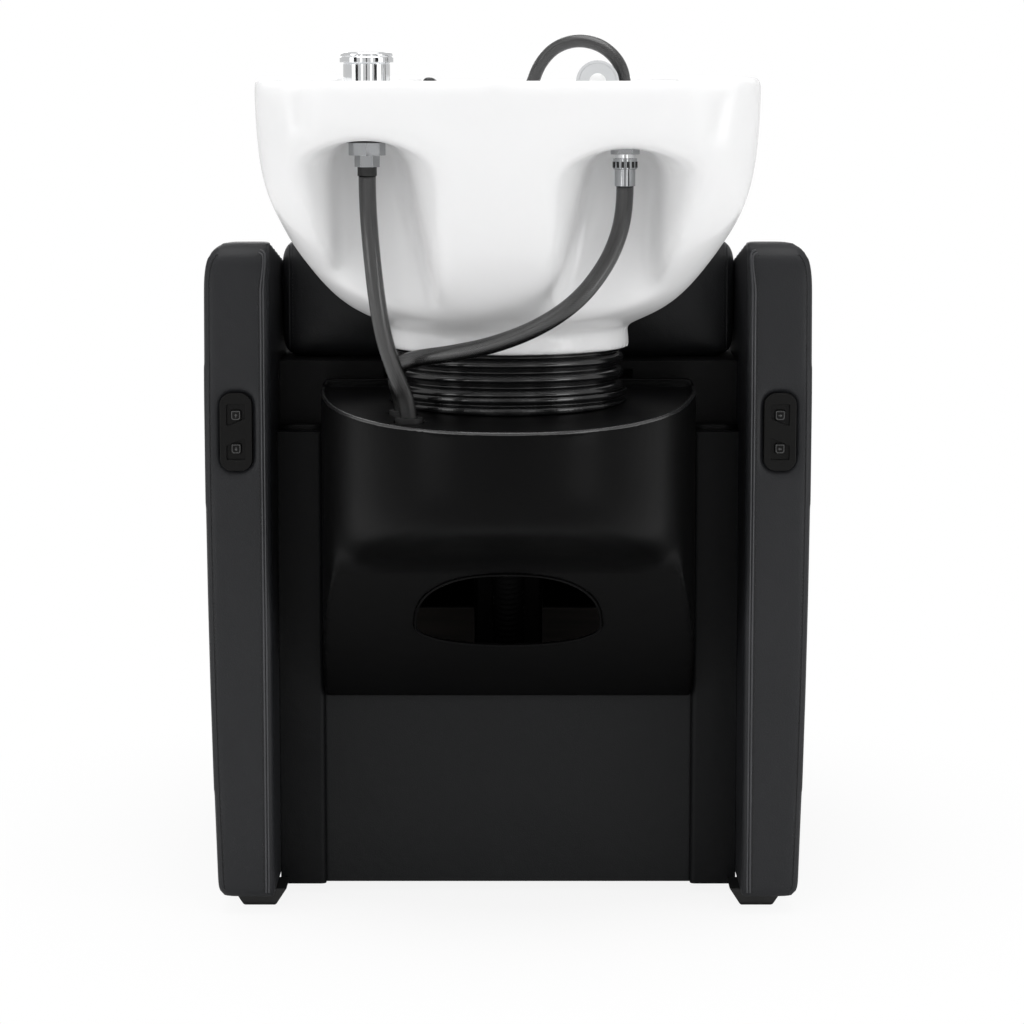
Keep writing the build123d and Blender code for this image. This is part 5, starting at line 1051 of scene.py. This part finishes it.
def slope_prism(name, outline, inner, outer):
    """A closed prism square to the slope, over an outline of x and z."""
    shape = bmesh.new()
    rings = [[shape.verts.new(on_slope(x, z, out)) for x, z in outline] for out in (inner, outer)]
    shape.faces.new(rings[0])
    shape.faces.new(rings[1])
    for k in range(len(outline)):
        n = (k + 1) % len(outline)
        shape.faces.new((rings[0][k], rings[0][n], rings[1][n], rings[1][k]))
    return from_shape(name, shape)


def cut(obj, cutter):
    """Cuts a closed shape out of an object."""
    tool = obj.modifiers.new("cut", "BOOLEAN")
    tool.operation = "DIFFERENCE"
    tool.solver = "EXACT"
    tool.object = cutter
    apply_modifiers(obj)
    bpy.data.objects.remove(cutter)


def window(half, low, high):
    """The four corners of a rectangle on the slope."""
    return [(-half, low), (half, low), (half, high), (-half, high)]


def bowed(value, power):
    """A cosine or sine drawn out to a squarer curve, with its sign kept."""
    return math.copysign(abs(value) ** (2 / power), value)


HOLE_HALF, HOLE_LINE, HOLE_STEPS = 0.1025, 0.3345, 96
hand_hole = []
for k in range(HOLE_STEPS):
    turn = 2 * math.pi * k / HOLE_STEPS
    c, s = math.cos(turn), math.sin(turn)
    flat, steep, height = (2.5, 2.3, 0.0655) if s >= 0 else (2.0, 2.7, 0.0295)
    hand_hole.append((HOLE_HALF * bowed(c, flat), HOLE_LINE + height * bowed(s, steep)))

cover_shell = linked("cover_shell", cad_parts["rear_cover"].data.copy())
weld(cover_shell.data)
cut(cover_shell, slope_prism("window", window(0.122, 0.288, 0.4075), -0.012, 0.012))
plate = slope_prism("plate", window(0.1245, 0.2855, 0.409), -0.0043, 0.0)
cut(plate, slope_prism("hole", hand_hole, -0.02, 0.02))
both = bmesh.new()
both.from_mesh(cover_shell.data)
both.from_mesh(plate.data)
both.to_mesh(cover_shell.data)
both.free()
bpy.data.objects.remove(plate)
print("cover with its clean hole", len(cover_shell.data.polygons))

# %% [markdown]
# The shell is now made even and its bends are softened, strongest at the fold between the
# front and the underside. Fewer faces are then enough for its broad shapes.

# %% Round the bends of the rear cover
COVER_FACES = 92000


def bend_weight(spot):
    """How much a spot on the cover is smoothed."""
    height = faded(spot.z, 0.401, 0.413) * (1.0 - faded(spot.z, 0.52, 0.56))
    return height * faded(spot.y, 0.34, 0.40)


evened(cover_shell, 0.0025, 6)
softened(cover_shell, "bends", bend_weight, 1100)
thin = cover_shell.modifiers.new("thin", "DECIMATE")
thin.ratio = min(1.0, COVER_FACES / len(cover_shell.data.polygons))
apply_modifiers(cover_shell)
show(cover_shell, cover_gloss, "base", "rear_cover")
print("cover faces", len(cover_shell.data.polygons))

# %% [markdown]
# ## Beads of the rear cover
# The rim of the shelf and the edge of the hand hole are rolled, which is what catches the
# light in one thin line. Each is a round bead along the edge, half sunk in the shell. The
# rim's bead is also much lighter than the cover, a painted highlight.

# %% Beads along the rim and the hand hole
BEAD = 0.0022
RAY_LEVEL = 0.568
FLANGE_TOP = 0.597
down = Vector((0, 0, -1))
cover_tree = surface_of(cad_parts["rear_cover"])
rim_line = []
for k in range(121):
    turn = math.radians(-20 + 220 * k / 120)
    way = Vector((math.cos(turn), math.sin(turn), 0.0))
    hit, normal, _, _ = cover_tree.ray_cast(Vector((0, 0.40, RAY_LEVEL)) + way * 0.6, -way)
    if hit is None:
        continue
    inset = hit - Vector((normal.x, normal.y, 0)).normalized() * BEAD
    top = cover_tree.ray_cast(Vector((inset.x, inset.y, 0.7)), down)[0]
    rim_line.append(Vector((inset.x, inset.y, (top.z if top else FLANGE_TOP) - BEAD * 0.8)))
beside = [rim_line[max(0, k - 1):k + 2] for k in range(len(rim_line))]
rim_line = [sum(near, Vector()) / len(near) for near in beside]
rim_bead = tube("rim_bead", rim_line, BEAD, 12)[0]
# The rim bead's lighter finish is a painted highlight.
show(rim_bead, lip_gloss_painted_highlight, "base")
hole_line = [on_slope(x, z, 0.0002) for x, z in hand_hole[24:] + hand_hole[:25]]
hole_bead = tube("hole_bead", hole_line, 0.0015, 10)[0]
show(hole_bead, cover_gloss, "base")
heights = [p.z for p in rim_line]
print("rim bead heights", round(min(heights), 4), round(max(heights), 4), len(rim_line))

# %% [markdown]
# ## Grooves of the hose union, the tap's cap and the joints beside the panel
# Two thin dark rings mark where the union's ring nut and ferrule meet. The tap's cap is a
# thin chromed disc on a sleeve of the barrel's width. A black strip lies behind each joint
# between a pillar and the band, painted shade for the dark inside of the joint. It is a
# guess that closes a slit in the CAD, since the photo shows no light through these joints.

# %% Rings, cap and backing strips
def ring_outline(radius, z, half):
    """A small four-cornered outline round a radius and height."""
    return [(radius - half, z), (radius, z + half), (radius + half, z), (radius, z - half)]


for name, radius, z in (("upper_groove", 0.0112, 0.8414), ("lower_groove", 0.0100, 0.8245)):
    groove = turned_piece(name, ring_outline(radius, z, 0.0007), UNION_MIDDLE, 48)
    show(groove, plain_rubber, "basin")
sleeve_outline = [(0.0195, 0.9400), (0.0236, 0.9400), (0.0236, 0.9540), (0.0195, 0.9540)]
sleeve = turned_piece("barrel_sleeve", sleeve_outline, TAP_MIDDLE, 64)
show(sleeve, chrome, "mixer_spindle")
cap_outline = [(0.001, 0.9545), (0.0255, 0.9545), (0.0267, 0.9555), (0.0267, 0.9585),
               (0.0250, 0.9602), (0.001, 0.9604)]
cap = turned_piece("cap_disc", cap_outline, TAP_MIDDLE, 64)
show(cap, chrome, "mixer_handle")
# Each strip is painted shade: a dark body in the slit behind the joint.
for side in (1, -1):
    joint_line = [Vector((side * x, 0.262, 0.536)) for x in (0.209, 0.225, 0.245, 0.263)]
    strip = tube("joint_shade_strip", joint_line, 0.007, 12)[0]
    show(strip, band_vinyl, "base")

# %% [markdown]
# ## Hub of the hand shower
# The spray face is a grey disc with a low white dome in its middle. The dome is a
# flattened sphere, half sunk in the face and set on its axis.

# %% White dome on the spray face
DOME_RADIUS, DOME_HEIGHT, DOME_LIFT = 0.0088, 0.0024, 0.0006
face_middle = sum(world_corners(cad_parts["spray_face"]), Vector()) / 8
face_axis = Vector((0.0, 0.986, 0.164)).normalized()
dome_shape = bmesh.new()
bmesh.ops.create_uvsphere(dome_shape, u_segments=40, v_segments=24, radius=1.0)
tilt = Vector((0, 0, 1)).rotation_difference(face_axis).to_matrix()
for vertex in dome_shape.verts:
    x, y, z = vertex.co
    flattened = Vector((x * DOME_RADIUS, y * DOME_RADIUS, z * DOME_HEIGHT + DOME_LIFT))
    vertex.co = face_middle + tilt @ flattened
dome = from_shape("spray_dome", dome_shape)
show(dome, white_plastic, "hand_shower")

# %% [markdown]
# ## Slots of the ring nut
# The ring nut of the hose union has a row of grip slots, so a hook spanner could turn
# it. Each slot is one dark block, painted shade for the slot's hollow, set on a circle by
# instances.

# %% Ring nut slots
NUT_HEIGHT = 0.8455
NUT_RADIUS, NUT_SLOTS = 0.0120, 14
slot_group, start, real = node_group(
    "slots", ("Line", "Geometry"), ("Radius", "Float"), ("Count", "Int"), ("Finish", "Material")
)
add, link = slot_group.nodes.new, slot_group.links.new
ring = add("GeometryNodeMeshCircle")
block = add("GeometryNodeMeshCube")
block.inputs["Size"].default_value = (0.0016, 0.0028, 0.0062)
toward = add("FunctionNodeAlignRotationToVector")
toward.axis = "X"
spot = add("GeometryNodeInputPosition")
blocks = add("GeometryNodeInstanceOnPoints")
link(start.outputs["Radius"], ring.inputs["Radius"])
link(start.outputs["Count"], ring.inputs["Vertices"])
link(spot.outputs["Position"], toward.inputs["Vector"])
link(ring.outputs["Mesh"], blocks.inputs["Points"])
link(block.outputs["Mesh"], blocks.inputs["Instance"])
link(toward.outputs["Rotation"], blocks.inputs["Rotation"])
link(blocks.outputs["Instances"], real.inputs["Geometry"])

# The slot blocks are dark: painted shade for the hollows of the slots.
slots = linked("nut_slot_shade", bpy.data.meshes.new("nut_slot_shade"))
run_group(slots, slot_group, {"Radius": NUT_RADIUS, "Count": NUT_SLOTS, "Finish": stitch_thread})
nut_middle = Vector((*UNION_MIDDLE, NUT_HEIGHT))
for vertex in slots.data.vertices:
    vertex.co += nut_middle
dress(slots, stitch_thread)
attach(slots, "basin")
